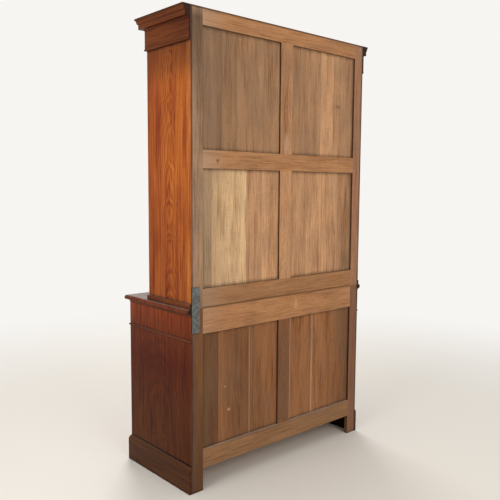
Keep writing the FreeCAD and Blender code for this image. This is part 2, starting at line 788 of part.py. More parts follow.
front_ratchet = ratchet("front_ratchet", ("ratchet_front", "teeth_front"), "teeth_front", -1)
rear_ratchet = ratchet("rear_ratchet", ("teeth_rear", "frame_y"), "teeth_rear", 1)
node("shelf_ratchets", front_ratchet, rear_ratchet,
     mirrored("front_ratchet_left", front_ratchet), mirrored("rear_ratchet_left", rear_ratchet))

bearers = []
shelves = []
corner_in, corner_out = "ratchet_x - shelf_play", "inner_x - shelf_play"
for number, share in enumerate(SHELF_SHARES):
    foot = f"{TOOTH_LOW} + floor({share} * tooth_count) * tooth_pitch"
    taper = "tooth_depth * bearer_height / tooth_rise"
    bearer = prism(f"bearer_{number}", "x", [
        ("teeth_front - tooth_depth", foot), ("teeth_rear + tooth_depth", foot),
        (f"teeth_rear + tooth_depth - {taper}", f"{foot} + bearer_height"),
        (f"teeth_front - tooth_depth + {taper}", f"{foot} + bearer_height")],
        "ratchet_x", "inner_x")
    bearers += [bearer, mirrored(f"bearer_left_{number}", bearer)]
    notched = [(corner_in, "ratchet_front"), (corner_in, "teeth_front + shelf_play"),
               (corner_out, "teeth_front + shelf_play"), (corner_out, "teeth_rear - shelf_play"),
               (corner_in, "teeth_rear - shelf_play"), (corner_in, "frame_y - shelf_play")]
    shelves.append(prism(f"shelf_{number}", "z",
                         notched + [(f"-({corner[0]})", corner[1]) for corner in reversed(notched)],
                         f"{foot} + bearer_height", f"{foot} + bearer_height + shelf_thick"))
low_shelf_y = ("lower_front + rail_thick + lower_shelf_setback", "frame_y - shelf_play")
low_bearer = board("low_bearer", ("inner_x - lower_bearer_width", "inner_x"), low_shelf_y,
                   ("lower_shelf_height - shelf_thick - bearer_height",
                    "lower_shelf_height - shelf_thick"))
node("shelf_bearers", *bearers, low_bearer, mirrored("low_bearer_left", low_bearer))
low_shelf = board("low_shelf", (f"-({corner_out})", corner_out), low_shelf_y,
                  ("lower_shelf_height - shelf_thick", "lower_shelf_height"))
node("shelves", low_shelf, *shelves)


# Drawer framing: rails, divider, runners, guide, kickers, stops and dust boards
runner_y = ("lower_front + rail_depth", "frame_y")
runner_z = ("rail_low", "drawer_floor")
kicker_z = ("drawer_ceiling", "top_low")
dust_low = "(rail_low + drawer_floor) / 2 - dust_thick / 2"
dust_board = board("dust_board", ("runner_width / 2 - dust_groove",
                                  "inner_x - runner_width + dust_groove"),
                   ("lower_front + rail_depth - dust_groove", "frame_y - panel_play"),
                   (dust_low, f"{dust_low} + dust_thick"))
dust_left = mirrored("dust_board_left", dust_board)
node("dust_boards", dust_left, dust_board)
divider = board("divider", ("-divider_thick / 2", "divider_thick / 2"),
                ("lower_front", "lower_front + rail_depth"), ("drawer_floor", "drawer_ceiling"))
node("drawer_rails", top_rail, cut("drawer_rail_grooved", drawer_rail, dust_board, dust_left),
     divider)
side_runner = cut("side_runner", board("side_runner_bar", ("inner_x - runner_width", "inner_x"),
                                       runner_y, runner_z), dust_board)
side_kicker = board("side_kicker", ("inner_x - runner_width", "inner_x"), runner_y, kicker_z)
stops = []
for place in ("drawer_in + knob_inset", "drawer_out - knob_inset"):
    stops.append(board("drawer_stop", (f"{place} - stop_length / 2", f"{place} + stop_length / 2"),
                       ("lower_front + drawer_front_thick + stop_play",
                        "lower_front + drawer_front_thick + stop_play + stop_width"),
                       ("drawer_floor", "drawer_floor + stop_height")))
middle = ("-runner_width / 2", "runner_width / 2")
node("drawer_runners",
     side_runner, mirrored("side_runner_left", side_runner),
     cut("middle_runner", board("middle_runner_bar", middle, runner_y, runner_z),
         dust_board, dust_left),
     board("middle_guide", ("-divider_thick / 2", "divider_thick / 2"), runner_y,
           ("drawer_floor", "drawer_floor + guide_height")),
     side_kicker, mirrored("side_kicker_left", side_kicker),
     board("middle_kicker", middle, runner_y, kicker_z),
     *stops, *[mirrored("drawer_stop_left", stop) for stop in stops])


# Drawers, with lapped dovetails in front and through dovetails behind
def tails(root, tip, low, high):
    """The outline of a row of dovetails up one end of a board."""
    corners = []
    for index in range(DOVETAILS):
        pitch = f"(({high}) - ({low})) / {DOVETAILS}"
        centre = f"({low}) + {index + 0.5} * {pitch}"
        corners += [(root, f"{centre} - {TAIL_ROOT_SHARE} * {pitch}"),
                    (tip, f"{centre} - {TAIL_TIP_SHARE} * {pitch}"),
                    (tip, f"{centre} + {TAIL_TIP_SHARE} * {pitch}"),
                    (root, f"{centre} + {TAIL_ROOT_SHARE} * {pitch}")]
    return corners


def knob(name, x):
    """A turned knob with a spigot through the drawer front."""
    body = doc.addObject("PartDesign::Body", name)
    foot = f"-{KNOB_FOOT_SHARE} * knob_reach"
    neck = f"-{KNOB_NECK_SHARE} * knob_reach"
    rim = [f"-{share} * knob_reach" for share in KNOB_RIM_SHARES]
    profile = [("drawer_front_thick", "0"), ("drawer_front_thick", "knob_spigot_radius"),
               ("0", "knob_spigot_radius"), ("0", "knob_foot_radius"),
               (foot, "knob_foot_radius"), (neck, "knob_neck_radius", -HOLLOW_SHARE),
               (rim[0], "knob_radius"), (rim[1], "knob_radius", KNOB_DOME_SHARE),
               ("-knob_reach", f"{KNOB_FACE_SHARE} * knob_radius"), ("-knob_reach", "0")]
    turning = body.newObject("PartDesign::Revolution", name + "_turning")
    turning.Profile = draw(body, "x", "0", [profile])
    turning.ReferenceAxis = (turning.Profile[0], ["H_Axis"])
    body.Tip = turning
    bind(body, {"Placement.Base.x": x, "Placement.Base.y": "lower_front",
                "Placement.Base.z": "(drawer_low + drawer_high) / 2"})
    return body


front_root, front_tip = "lower_front + drawer_front_thick", "lower_front + drawer_lap"
rear_root = "drawer_rear - drawer_back_thick"
side_outline = ([("drawer_rear", "drawer_low"), (front_root, "drawer_low")]
                + tails(front_root, front_tip, "drawer_low", "drawer_side_high")
                + [(front_root, "drawer_side_high"), (rear_root, "drawer_side_high")]
                + tails(rear_root, "drawer_rear", "drawer_back_low", "drawer_side_high")[::-1]
                + [(rear_root, "drawer_back_low"), ("drawer_rear", "drawer_back_low")])
drawer_bottom = board("drawer_bottom", ("drawer_in_wall - drawer_bottom_groove",
                                        "drawer_out_wall + drawer_bottom_groove"),
                      (f"{front_root} - drawer_bottom_groove", "drawer_rear"),
                      ("drawer_bottom_low", "drawer_back_low"))
drawer_sides = [
    cut("drawer_side_in", prism("side_in_board", "x", side_outline, "drawer_in", "drawer_in_wall"),
        drawer_bottom),
    cut("drawer_side_out", prism("side_out_board", "x", side_outline, "drawer_out_wall",
                                 "drawer_out"), drawer_bottom)]
drawer_back = cut("drawer_back", board("drawer_back_board", ("drawer_in", "drawer_out"),
                                       (rear_root, "drawer_rear"),
                                       ("drawer_back_low", "drawer_side_high")), *drawer_sides)
knobs = [knob("knob_in", "drawer_in + knob_inset"), knob("knob_out", "drawer_out - knob_inset")]
drawer_front = cut("drawer_front", board("drawer_front_board", ("drawer_in", "drawer_out"),
                                         ("lower_front", front_root), ("drawer_low", "drawer_high")),
                   *drawer_sides, drawer_bottom, *knobs)
drawer_pieces = {"front": [drawer_front], "box": [*drawer_sides, drawer_back, drawer_bottom],
                 "knobs": knobs}
for kind, pieces in drawer_pieces.items():
    node("drawer_right_" + kind, *pieces)
    node("drawer_left_" + kind, *[mirrored(piece.Name + "_left", piece) for piece in pieces])


# Doors
def door_frame(stage, front, span, top_width, low_width, rebate, leaves):
    """Right door: two stiles and two rails, tenoned, and the opening between them."""
    low, high = span
    y = (front, f"({front}) + door_thick")
    opening_x = ("meeting_x + stile_width", "hinge_x - stile_width")
    opening_z = (f"({low}) + {low_width}", f"({high}) - {top_width}")
    rails = [tenoned(f"{stage}_door_rail_{index}", "x", "y", opening_x, y, rail_z)
             for index, rail_z in enumerate(((low, opening_z[0]), (opening_z[1], high)))]
    channel = rebate(opening_x, opening_z, y)
    meeting = cut(f"{stage}_meeting_stile",
                  board(f"{stage}_meeting_blank", ("meeting_x", opening_x[0]), y, span),
                  channel, *rails)
    hanging = cut(f"{stage}_hanging_stile",
                  board(f"{stage}_hanging_blank", (opening_x[1], "hinge_x"), y, span),
                  channel, *rails, *leaves)
    rails = [cut(f"{stage}_door_cut_rail_{index}", bar, channel) for index, bar in enumerate(rails)]
    return meeting, hanging, rails, opening_x, opening_z


def widened(span, by):
    return f"({span[0]}) - ({by})", f"({span[1]}) + ({by})"


def glass_rebate(x, z, y):
    return board("glass_rebate", widened(x, "rebate_width"),
                 ("upper_front + glass_depth", f"{y[1]} + cut_overrun"), widened(z, "rebate_width"))


def tongue_groove(x, z, y):
    middle = f"({y[0]} + {y[1]}) / 2"
    return board("tongue_groove", widened(x, "panel_groove"),
                 (f"{middle} - tongue_thick / 2", f"{middle} + tongue_thick / 2"),
                 widened(z, "panel_groove"))


upper_meeting, upper_hanging, upper_door_rails, pane_x, pane_z = door_frame(
    "upper", "upper_front", UPPER_DOOR, "upper_top_rail", "upper_low_rail", glass_rebate,
    [hinge[3] for hinge in hinges["upper"]])
lower_meeting, lower_hanging, lower_door_rails, field_x, field_z = door_frame(
    "lower", "lower_front", LOWER_DOOR, "lower_top_rail", "lower_low_rail", tongue_groove,
    [hinge[3] for hinge in hinges["lower"]])

# Glass against the shoulder of the rebate, a moulding in front and beads behind
glass_face = "upper_front + glass_depth"
glass_back = f"{glass_face} + glass_thick"
glass = board("glass", widened(pane_x, "rebate_width - glass_play"), (glass_face, glass_back),
              widened(pane_z, "rebate_width - glass_play"))
sticking = picture_frame("sticking", pane_x, pane_z, "sticking_width", [
    ("0", glass_face), ("0", "upper_front + sticking_setback"),
    ("sticking_setback", "upper_front + sticking_setback", -HOLLOW_SHARE),
    ("sticking_width", glass_face)])
door_rear = "upper_front + door_thick"
glazing_beads = picture_frame("glazing_bead", widened(pane_x, "rebate_width"),
                              widened(pane_z, "rebate_width"), "rebate_width", [
    ("0", door_rear), ("0", glass_back), ("rebate_width", glass_back),
    ("rebate_width", f"{door_rear} - glazing_bead_round", QUARTER_SHARE),
    ("rebate_width - glazing_bead_round", door_rear)])

# Fielded panel: a tongue in the groove, a bevel and a raised field
tongue_face = "lower_front + door_thick / 2 - tongue_thick / 2"
tongue = board("panel_tongue", widened(field_x, "tongue_depth"),
               (tongue_face, f"{tongue_face} + tongue_thick"),
               (f"({field_z[0]}) - panel_groove", f"({field_z[1]}) + tongue_depth"))
bevel_x = (f"({field_x[0]}) + bevel_margin", f"({field_x[1]}) - bevel_margin")
bevel_z = (f"({field_z[0]}) + bevel_margin", f"({field_z[1]}) - bevel_margin")
raised_x = (f"({bevel_x[0]}) + bevel_width", f"({bevel_x[1]}) - bevel_width")
raised_z = (f"({bevel_z[0]}) + bevel_width", f"({bevel_z[1]}) - bevel_width")
bevel = doc.addObject("Part::Wedge", "panel_bevel")
bind(bevel, {"Xmin": raised_x[0], "Xmax": raised_x[1], "Zmin": raised_z[0], "Zmax": raised_z[1],
             "X2min": bevel_x[0], "X2max": bevel_x[1], "Z2min": bevel_z[0], "Z2max": bevel_z[1],
             "Ymin": f"{tongue_face} - bevel_height", "Ymax": tongue_face})
field = board("panel_field", raised_x, (f"{tongue_face} - bevel_height - field_step",
                                        f"{tongue_face} - bevel_height"), raised_z)
fielded = fuse("fielded_panel", tongue, bevel, field)
panel_moulding = picture_frame("panel_moulding", field_x, field_z, "panel_moulding_width", [
    ("0", tongue_face), ("0", "lower_front + panel_moulding_setback"),
    ("panel_moulding_setback", "lower_front + panel_moulding_setback", -PANEL_EDGE_SHARE),
    ("panel_moulding_width", tongue_face)])


# Locks on the right doors, keeps and slide bolts on the left doors
def lock(stage, front, key_z):
    """Case, escutcheon, bolt, key and keyhole; and the keep, already on the left door."""
    rear = f"({front}) + door_thick"
    bolt_y = (f"{rear} + (case_thick - bolt_thick) / 2", f"{rear} + (case_thick + bolt_thick) / 2")
    bolt_z = (f"{key_z} + bolt_rise", f"{key_z} + bolt_rise + bolt_height")
    case_z = (f"{key_z} - case_height / 2 + case_rise", f"{key_z} + case_height / 2 + case_rise")
    keyhole = fuse(
        f"{stage}_keyhole",
        rod(f"{stage}_keyhole_round", "y", ("key_x", key_z), f"({front}) - cut_overrun",
            f"{rear} + case_wall", "key_shank_radius + key_play"),
        board(f"{stage}_keyhole_slot",
              ("key_x - key_bit_width / 2 - key_play", "key_x + key_bit_width / 2 + key_play"),
              (f"({front}) - cut_overrun", f"{rear} + case_wall"),
              (f"{key_z} - key_bit_radius - key_play", key_z)))
    slot = board(f"{stage}_bolt_slot", ("case_x - cut_overrun", "case_x + case_wall + cut_overrun"),
                 (f"{bolt_y[0]} - bolt_play", f"{bolt_y[1]} + bolt_play"),
                 (f"{bolt_z[0]} - bolt_play", f"{bolt_z[1]} + bolt_play"))
    case = cut(f"{stage}_lock_case",
               board(f"{stage}_case_block", ("case_x", "case_x + case_width"),
                     (rear, f"{rear} + case_thick"), case_z),
               board(f"{stage}_case_hollow", ("case_x + case_wall", "case_x + case_width - case_wall"),
                     (f"{rear} + case_wall", f"{rear} + case_thick - case_wall"),
                     (f"{case_z[0]} + case_wall", f"{case_z[1]} - case_wall")), slot, keyhole)
    escutcheon = cut(f"{stage}_escutcheon",
                     rod(f"{stage}_escutcheon_disc", "y", ("key_x", key_z),
                         f"({front}) - escutcheon_thick", front, "escutcheon_radius"), keyhole)
    bolt = cut(f"{stage}_lock_bolt",
               board(f"{stage}_bolt_bar", ("case_x", "case_x + case_width - 2 * case_wall"),
                     bolt_y, bolt_z),
               board(f"{stage}_talon", ("key_x + bolt_throw - talon_width / 2",
                                        "key_x + bolt_throw + talon_width / 2"),
                     (f"{bolt_y[0]} - cut_overrun", f"{bolt_y[1]} + cut_overrun"),
                     (f"{bolt_z[0]} - cut_overrun", f"{bolt_z[0]} + talon_depth")))
    inner_end = f"{rear} + case_thick - case_wall - bolt_play"
    bow_y = f"({front}) - bow_centre"
    bow_x = ("key_x - bow_thick / 2", "key_x + bow_thick / 2")
    bow = cut(f"{stage}_key_bow",
              rod(f"{stage}_bow_disc", "x", (bow_y, key_z), *bow_x, "bow_radius"),
              rod(f"{stage}_bow_eye", "x", (bow_y, key_z), *bow_x, "bow_eye_radius"))
    key = fuse(
        f"{stage}_key_whole", bow,
        rod(f"{stage}_key_shank", "y", ("key_x", key_z), f"({front}) - bow_centre + bow_eye_radius",
            inner_end, "key_shank_radius"),
        rod(f"{stage}_key_collar", "y", ("key_x", key_z), f"({front}) - escutcheon_thick - key_play"
            " - collar_length", f"({front}) - escutcheon_thick - key_play", "collar_radius"),
        board(f"{stage}_key_bit", ("key_x - key_bit_width / 2", "key_x + key_bit_width / 2"),
              (f"{rear} + case_wall + key_play", inner_end),
              (f"{key_z} - key_bit_radius", key_z)))
    keep_x = ("-(case_x + keep_width)", "-case_x")
    keep = cut(f"{stage}_keep",
               board(f"{stage}_keep_block", keep_x, (rear, f"{rear} + case_thick"), case_z),
               board(f"{stage}_keep_hole", (f"{keep_x[0]} + case_wall", f"{keep_x[1]} + cut_overrun"),
                     (f"{bolt_y[0]} - 2 * bolt_play", f"{bolt_y[1]} + 2 * bolt_play"),
                     (f"{bolt_z[0]} - 2 * bolt_play", f"{bolt_z[1]} + 2 * bolt_play")))
    return case, escutcheon, bolt, key, keyhole, keep


def slide_bolt(stage, front, high):
    """The plate with its two loops on the back of the left door, and the rod that slides in them."""
    rear = f"({front}) + door_thick"
    middle = "-key_x"
    plate_high = f"({high}) - slide_plate_drop"
    plate_low = f"{plate_high} - slide_plate_height"
    rod_y = f"{rear} + slide_plate_thick + slide_rod_radius + slide_rod_play"
    loop = "slide_rod_radius + slide_rod_play + slide_loop_wall"
    bore = rod(f"{stage}_slide_bore", "z", (middle, rod_y), f"{plate_low} - cut_overrun",
               f"{plate_high} + cut_overrun", "slide_rod_radius + slide_rod_play")
    body = fuse(
        f"{stage}_slide_body",
        board(f"{stage}_slide_plate", (f"{middle} - slide_plate_width / 2",
                                       f"{middle} + slide_plate_width / 2"),
              (rear, f"{rear} + slide_plate_thick"), (plate_low, plate_high)),
        *[board(f"{stage}_slide_loop_{name}", (f"{middle} - ({loop})", f"{middle} + {loop}"),
                (f"{rear} + slide_plate_thick", f"{rod_y} + {loop}"), loop_z)
          for name, loop_z in (("high", (f"{plate_high} - slide_loop_height", plate_high)),
                               ("low", (plate_low, f"{plate_low} + slide_loop_height")))])
    knob_z = f"({plate_low} + {plate_high}) / 2"
    shaft = fuse(
        f"{stage}_slide_shaft",
        rod(f"{stage}_slide_rod", "z", (middle, rod_y), f"{plate_low} - slide_rod_end",
            plate_high, "slide_rod_radius"),
        rod(f"{stage}_slide_knob", "y", (middle, knob_z), rod_y, f"{rod_y} + slide_knob_length",
            "slide_knob_radius"))
    hole = rod(f"{stage}_slide_hole", "z", (middle, rod_y), plate_high,
               f"{plate_high} + slide_throw + cut_overrun", "slide_rod_radius + 2 * slide_rod_play")
    return cut(f"{stage}_slide_loops", body, bore), shaft, hole


def left(pieces):
    return [mirrored(piece.Name + "_left", piece) for piece in pieces]


stages = {
    "upper": ("upper_front", UPPER_DOOR, "upper_lock_height",
              upper_meeting, [upper_hanging, *upper_door_rails], sticking + glazing_beads),
    "lower": ("lower_front", LOWER_DOOR, "lower_lock_height",
              lower_meeting, [lower_hanging, *lower_door_rails], panel_moulding),
}
slide_holes = {}
for stage, (front, span, key_z, meeting, others, mouldings) in stages.items():
    case, escutcheon, bolt, key, keyhole, keep = lock(stage, front, key_z)
    loops, shaft, slide_holes[stage] = slide_bolt(stage, front, span[1])
    bead_flat = f"({front}) - (meeting_bead_reach - meeting_bead_width / 2)"
    bead = prism(f"{stage}_meeting_bead", "z", [
        ("meeting_x", front), ("meeting_x", bead_flat, HALF_SHARE),
        ("meeting_x + meeting_bead_width", bead_flat),
        ("meeting_x + meeting_bead_width", front)], *span)
    moving = [hinge[1] for hinge in hinges[stage]]
    node(f"{stage}_door_right_frame", cut(f"{stage}_lock_stile", meeting, keyhole), *others, bead)
    node(f"{stage}_door_left_frame", *left([meeting, *others]))
    node(f"{stage}_door_right_mouldings", *mouldings)
    node(f"{stage}_door_left_mouldings", *left(mouldings))
    infill = glass if stage == "upper" else fielded
    kind = "glass" if stage == "upper" else "panel"
    node(f"{stage}_door_right_{kind}", infill)
    node(f"{stage}_door_left_{kind}", *left([infill]))
    node(f"{stage}_door_right_fittings", *moving, case, escutcheon)
    node(f"{stage}_door_left_fittings", *left(moving), keep, loops)
    node(f"{stage}_lock_bolt", bolt)
    node(f"{stage}_key", key)
    node(f"{stage}_slide_bolt", shaft)


# Door stops and glue blocks
stop_x = ("-inner_x", "inner_x")
upper_stop_y = ("upper_front + rail_thick", "upper_front + rail_thick + door_stop_width")
lower_stop_y = ("lower_front + rail_thick", "lower_front + rail_thick + door_stop_width")
node("door_stops",
     cut("upper_head_stop", board("upper_head_strip", stop_x, upper_stop_y,
                                  ("frieze_low - door_stop_height", "frieze_low + door_stop_height")),
         slide_holes["upper"]),
     board("upper_foot_stop", stop_x, upper_stop_y, ("upper_floor", "upper_floor + door_stop_height")),
     cut("lower_head_stop", board("lower_head_strip", stop_x, lower_stop_y,
                                  ("rail_low - door_stop_height", "rail_low")),
         slide_holes["lower"]),
     board("lower_foot_stop", stop_x, lower_stop_y, ("lower_floor", "lower_floor + door_stop_height")))

blocks = []
for row, share in enumerate(BLOCK_SHARES):
    x0 = f"-inner_x + {share} * 2 * inner_x - rail_depth / 2"
    span = (x0, f"{x0} + rail_depth")
    roof_rear = "upper_front + rail_thick"
    blocks.append(prism(f"roof_block_{row}", "x", [
        (roof_rear, "roof_top"), (f"{roof_rear} + rail_depth / 2", "roof_top"),
        (roof_rear, "roof_top + rail_depth / 2")], *span))
    plinth_rear = "lower_front + rail_thick"
    blocks.append(prism(f"plinth_block_{row}", "x", [
        (plinth_rear, "floor_low"), (f"{plinth_rear} + rail_depth / 2", "floor_low"),
        (plinth_rear, "floor_low - rail_depth / 2")], *span))
node("glue_blocks", *blocks)


doc.recompute()
for thing in doc.Objects:
    if {"Invalid", "Error"} & set(thing.State):
        raise RuntimeError(f"{thing.Name} is {thing.State}")
for label, thing in NODES.items():
    if thing.Shape.isNull() or not thing.Shape.isValid() or not thing.Shape.Solids:
        raise RuntimeError(f"{label} has no sound shape")

os.makedirs("parts", exist_ok=True)
for label, thing in NODES.items():
    thing.Shape.exportStep(f"parts/{label}.step")
whole = Part.makeCompound([thing.Shape for thing in NODES.values()])
print(len(NODES), "nodes,", len(whole.Solids), "solids, box", whole.BoundBox)
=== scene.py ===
"""Finishes, small ironmongery and studio for a two-stage mahogany cupboard with an oak back.

Lengths are metres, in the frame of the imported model: Z up, the doors towards -Y, the oak back
towards +Y, the joining plate at +X.
"""
import math

import bpy
from mathutils import Matrix, Vector


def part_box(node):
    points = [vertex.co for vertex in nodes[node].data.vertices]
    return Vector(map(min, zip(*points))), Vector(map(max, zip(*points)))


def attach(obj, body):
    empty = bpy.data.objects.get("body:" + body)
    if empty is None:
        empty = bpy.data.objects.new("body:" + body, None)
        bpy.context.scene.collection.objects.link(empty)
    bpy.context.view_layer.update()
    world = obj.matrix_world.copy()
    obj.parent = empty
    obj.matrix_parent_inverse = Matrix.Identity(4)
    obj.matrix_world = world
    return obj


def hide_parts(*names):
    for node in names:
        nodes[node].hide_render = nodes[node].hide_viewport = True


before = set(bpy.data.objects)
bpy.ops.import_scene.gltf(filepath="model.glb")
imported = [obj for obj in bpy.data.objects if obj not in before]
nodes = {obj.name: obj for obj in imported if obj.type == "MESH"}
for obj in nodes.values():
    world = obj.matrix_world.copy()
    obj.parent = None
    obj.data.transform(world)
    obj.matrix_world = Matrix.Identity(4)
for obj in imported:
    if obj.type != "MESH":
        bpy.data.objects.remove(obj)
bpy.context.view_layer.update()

MM = 0.001
# How far inside a plane a face's centre has to be to count as behind it, and how near the rear
# end of a moulding or the edge of a stile to count as on it
CLEAR = 1 * MM
CLOSE = 0.5 * MM

# Sizes of the cupboard that no box of a node gives
SIDE_THICK = 22 * MM
REAR_LIP = 10 * MM
BACK_STILE_WIDTH = 61 * MM

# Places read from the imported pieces
back_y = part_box("upper_back_rails")[1].y
waist_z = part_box("lower_top_board")[1].z
top_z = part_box("cornice_moulding")[1].z
plinth_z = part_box("plinth")[1].z
bottom_board_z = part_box("lower_bottom_board")[0].z
lower_front_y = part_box("lower_side_right")[0].y
upper_front_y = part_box("upper_side_right")[0].y
side_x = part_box("upper_side_right")[1].x
inner_x = side_x - SIDE_THICK
stile_x = side_x - REAR_LIP - BACK_STILE_WIDTH


# Materials
# Socket places of the Mix node for colours
FACTOR, FIRST, SECOND, MIXED = 0, 6, 7, 2

# Sizes of the wood's patterns in millimetres, and how many times each is drawn out by the grain
CLOUD_WIDTH, CLOUD_LENGTH = 55, 10
STREAK_LENGTH = 26
# Real pores are 0.2 to 0.3 mm wide. They are drawn coarser, so that they show.
PORE_WIDTH, PORE_LENGTH = 1.3, 20
# Real saw marks are 2 to 4 mm apart. They are drawn coarser, so that they show.
SAW_PITCH = 9
DIRT_LENGTH = 3
# Patches of saw marks, dirt, and dust with painted sheen are a seventh, a ninth and a
# fourteenth of a metre wide
SAW_PATCH, DIRT_PATCH, DUST_PATCH = 1000 / 7, 1000 / 9, 1000 / 14
GLASS_WAVE = 1000 / 9
# Growth lines: how far one drift of their pitch reaches, and the turns that the drift and the
# clouds add to them
DRIFT_REACH, DRIFT_TURNS, WANDER_TURNS = 170, 4.0, 3.4
# The wave node's phase in radians for one unit of length at scale 1
WAVE_RADIANS = 20
# How much a seed moves the pattern along X, Y and Z
SEED_STEPS = (1.0, 1.7, 2.3)
# Levels of the grain where its tint is darkest, common and palest
GRAIN_LEVELS = (0.2, 0.5, 0.8)
# What pores and saw marks add to the relief of the streaks, and the relief's depth
PORE_RELIEF, SAW_RELIEF, RELIEF_DEPTH = -0.6, 1.5, 0.25 * MM
# How far the streaks move the roughness either way, and the roughness of a polish coat
ROUGH_SPREAD, COAT_ROUGH = 0.08, 0.22
# How far edges are eased, and how far old dirt and painted shade reach out of a corner
EASED, CORNER_REACH = 1.5 * MM, 16 * MM
# How far clouds move the grey near end's edge, and a panel's border
NEAR_END_WANDER, BORDER_WANDER = 120 * MM, 30 * MM
# Dirt and painted shade on a panel's border, how ragged a mark is, and the least share of dust
# and painted sheen on what faces up
BORDER_DIRT, RAGGEDNESS, LEAST_DUST = 0.42, 1.2, 0.4
# The part of a normal along Y from which a face counts as facing the rear or the inside
FACING = 0.5

# Where each pattern starts to show, and where it shows in full: the near end along X, the border
# in metres from its edge, a mark in half widths from its middle, the rest in the pattern's level
LIMITS = {
    "pores": {"From Min": 0.56, "From Max": 0.70},
    "saw_marks": {"From Min": 0.44, "From Max": 0.60},
    "dirt": {"From Min": 0.45, "From Max": 0.72},
    "near_end": {"From Min": 0.46, "From Max": 0.68},
    "border": {"From Min": 34 * MM, "From Max": 15 * MM},
    "mark": {"From Min": 1.6, "From Max": 0.9},
    "corner": {"From Min": 0.96, "From Max": 0.6},
    "worn_edge": {"From Min": 0.985, "From Max": 0.85},
    "facing_up": {"From Min": 0.6, "From Max": 0.98},
    "dust": {"From Min": 0.1, "From Max": 0.7},
    "roughness": {"From Min": 0.3, "From Max": 0.7},
}
# Tones of what lies on the timber, some of which also stand for painted shade and sheen
TONES = {"pores": "2A1710", "saw_marks": "5E4F42", "near_end": "A58A72", "joint": "3A2718",
         "border": "4E3A2A", "frame_edge": "3C2414", "corner": "1C0F0A", "worn_edge": "E8C8A0",
         "dust": "9C948A"}

# Edge-joined boards: width of the last one, half the width of a joint's dark line, and the
# share of a ramp in which one board's colour gives way to the next one's
LAST_BOARD = 0.40
JOINT_HALF = 1.2 * MM
BOARD_STEP = 0.0005
# How far the boards' patterns are moved apart at most, and the share of that from one to the next
BOARD_SHIFT = (3.1, 5.3, 7.7)
BOARD_TURN = 0.37

# What a timber's look is made of. Strengths and weights are shares.
WOOD_LOOK = {
    "seed": 0.0,  # moves the pattern to another part of the log
    "tint": "9E7F74",  # what the darkest grain does to the tone
    "middle": "ECE4E0",  # what the common grain does to the tone
    "broad": 0.9,  # weight of the broad clouds
    "streak": 1.0,  # weight of the fine streaks
    "width": 9,  # width of the fine streaks in millimetres
    "line": 0.06,  # weight of the growth lines
    "heart": (0.0, 30, 90),  # their place across the board, half width and pitch in millimetres
    "pore": 0.3,  # darkness of the open pores
    "saw": 0.0,  # strength of the saw marks
    "grime": 0.0,  # dirt in soft patches, and its tone
    "grime_tone": "6B5A4B",
    "stain": 0.0,  # grey towards the near end of the back
    "crevice": 0.0,  # dark polish and dirt, and painted shade, in the corners
    "recess": 0.0,  # darkness of the oak frame's inner edges, from dirt and painted shade
    "opening": (),  # middle and half of a panel's height between its rails
    "marks": (),  # knots and smudges: place, half width and height in millimetres, tone, strength
    "boards": (),  # edge-joined boards: start, first and last colour, darkness of the joint
    "shade": (),  # brightness by height, mostly painted light and shade: heights, each with a brightness or a tint
    "dust": 0.0,  # dust on what faces up, which also stands in for painted sheen there
    "edge": 0.25,  # how far edges are rubbed pale
    "rough": 0.5,  # roughness
    "coat": 0.0,  # weight of a clear coat of polish
    "gloss": 0.5,  # specular level of the timber itself
}


def linear(code):
    """An sRGB hex code as linear red, green, blue and alpha."""
    shares = [int(code[place:place + 2], 16) / 255 for place in (0, 2, 4)]
    return [share / 12.92 if share <= 0.04045 else ((share + 0.055) / 1.055) ** 2.4
            for share in shares] + [1]


def grey(share):
    """A grey that brightens or darkens by a share when it is multiplied in."""
    return [share] * 3 + [1]


def lit(tone, share):
    """A tone made brighter or darker by a share."""
    return [part * share for part in linear(tone)[:3]] + [1]


def add(tree, kind, inputs=None, stops=None, **settings):
    """Adds a node. Each input is given a value or another node's output."""
    made = tree.nodes.new("ShaderNode" + kind)
    for name, setting in settings.items():
        setattr(made, name, setting)
    for name, given in (inputs or {}).items():
        if isinstance(given, bpy.types.NodeSocket):
            tree.links.new(given, made.inputs[name])
        else:
            made.inputs[name].default_value = given
    if stops:
        elements = made.color_ramp.elements
        while len(elements) < len(stops):
            elements.new(1)
        for element, (place, colour) in zip(elements, stops):
            element.position = place
            element.color = linear(colour) if isinstance(colour, str) else colour
    return made


def new_material(name):
    """An empty material, its tree and its shader."""
    material = bpy.data.materials.new(name)
    material.use_nodes = True
    tree = material.node_tree
    shader = tree.nodes["Principled BSDF"]
    return material, tree, shader


def drawn_out(along, times):
    """The scale that draws a pattern out along the grain by a number of times."""
    return [1 / times if axis == along else 1 for axis in "xyz"]


def board_ramp(tree, across, starts, pairs):
    """Colours of edge-joined boards. Each board runs from its first colour to its second."""
    low, high = starts[0], starts[-1] + LAST_BOARD
    ends = [*starts[1:], high]
    share = add(tree, "MapRange", {"Value": across, "From Min": low, "From Max": high})
    stops = []
    for start, end, (first, second) in zip(starts, ends, pairs):
        stops.append(((start - low) / (high - low), first))
        stops.append(((end - low) / (high - low) - BOARD_STEP, second))
    return add(tree, "ValToRGB", {"Fac": share.outputs["Result"]}, stops=stops).outputs["Color"]


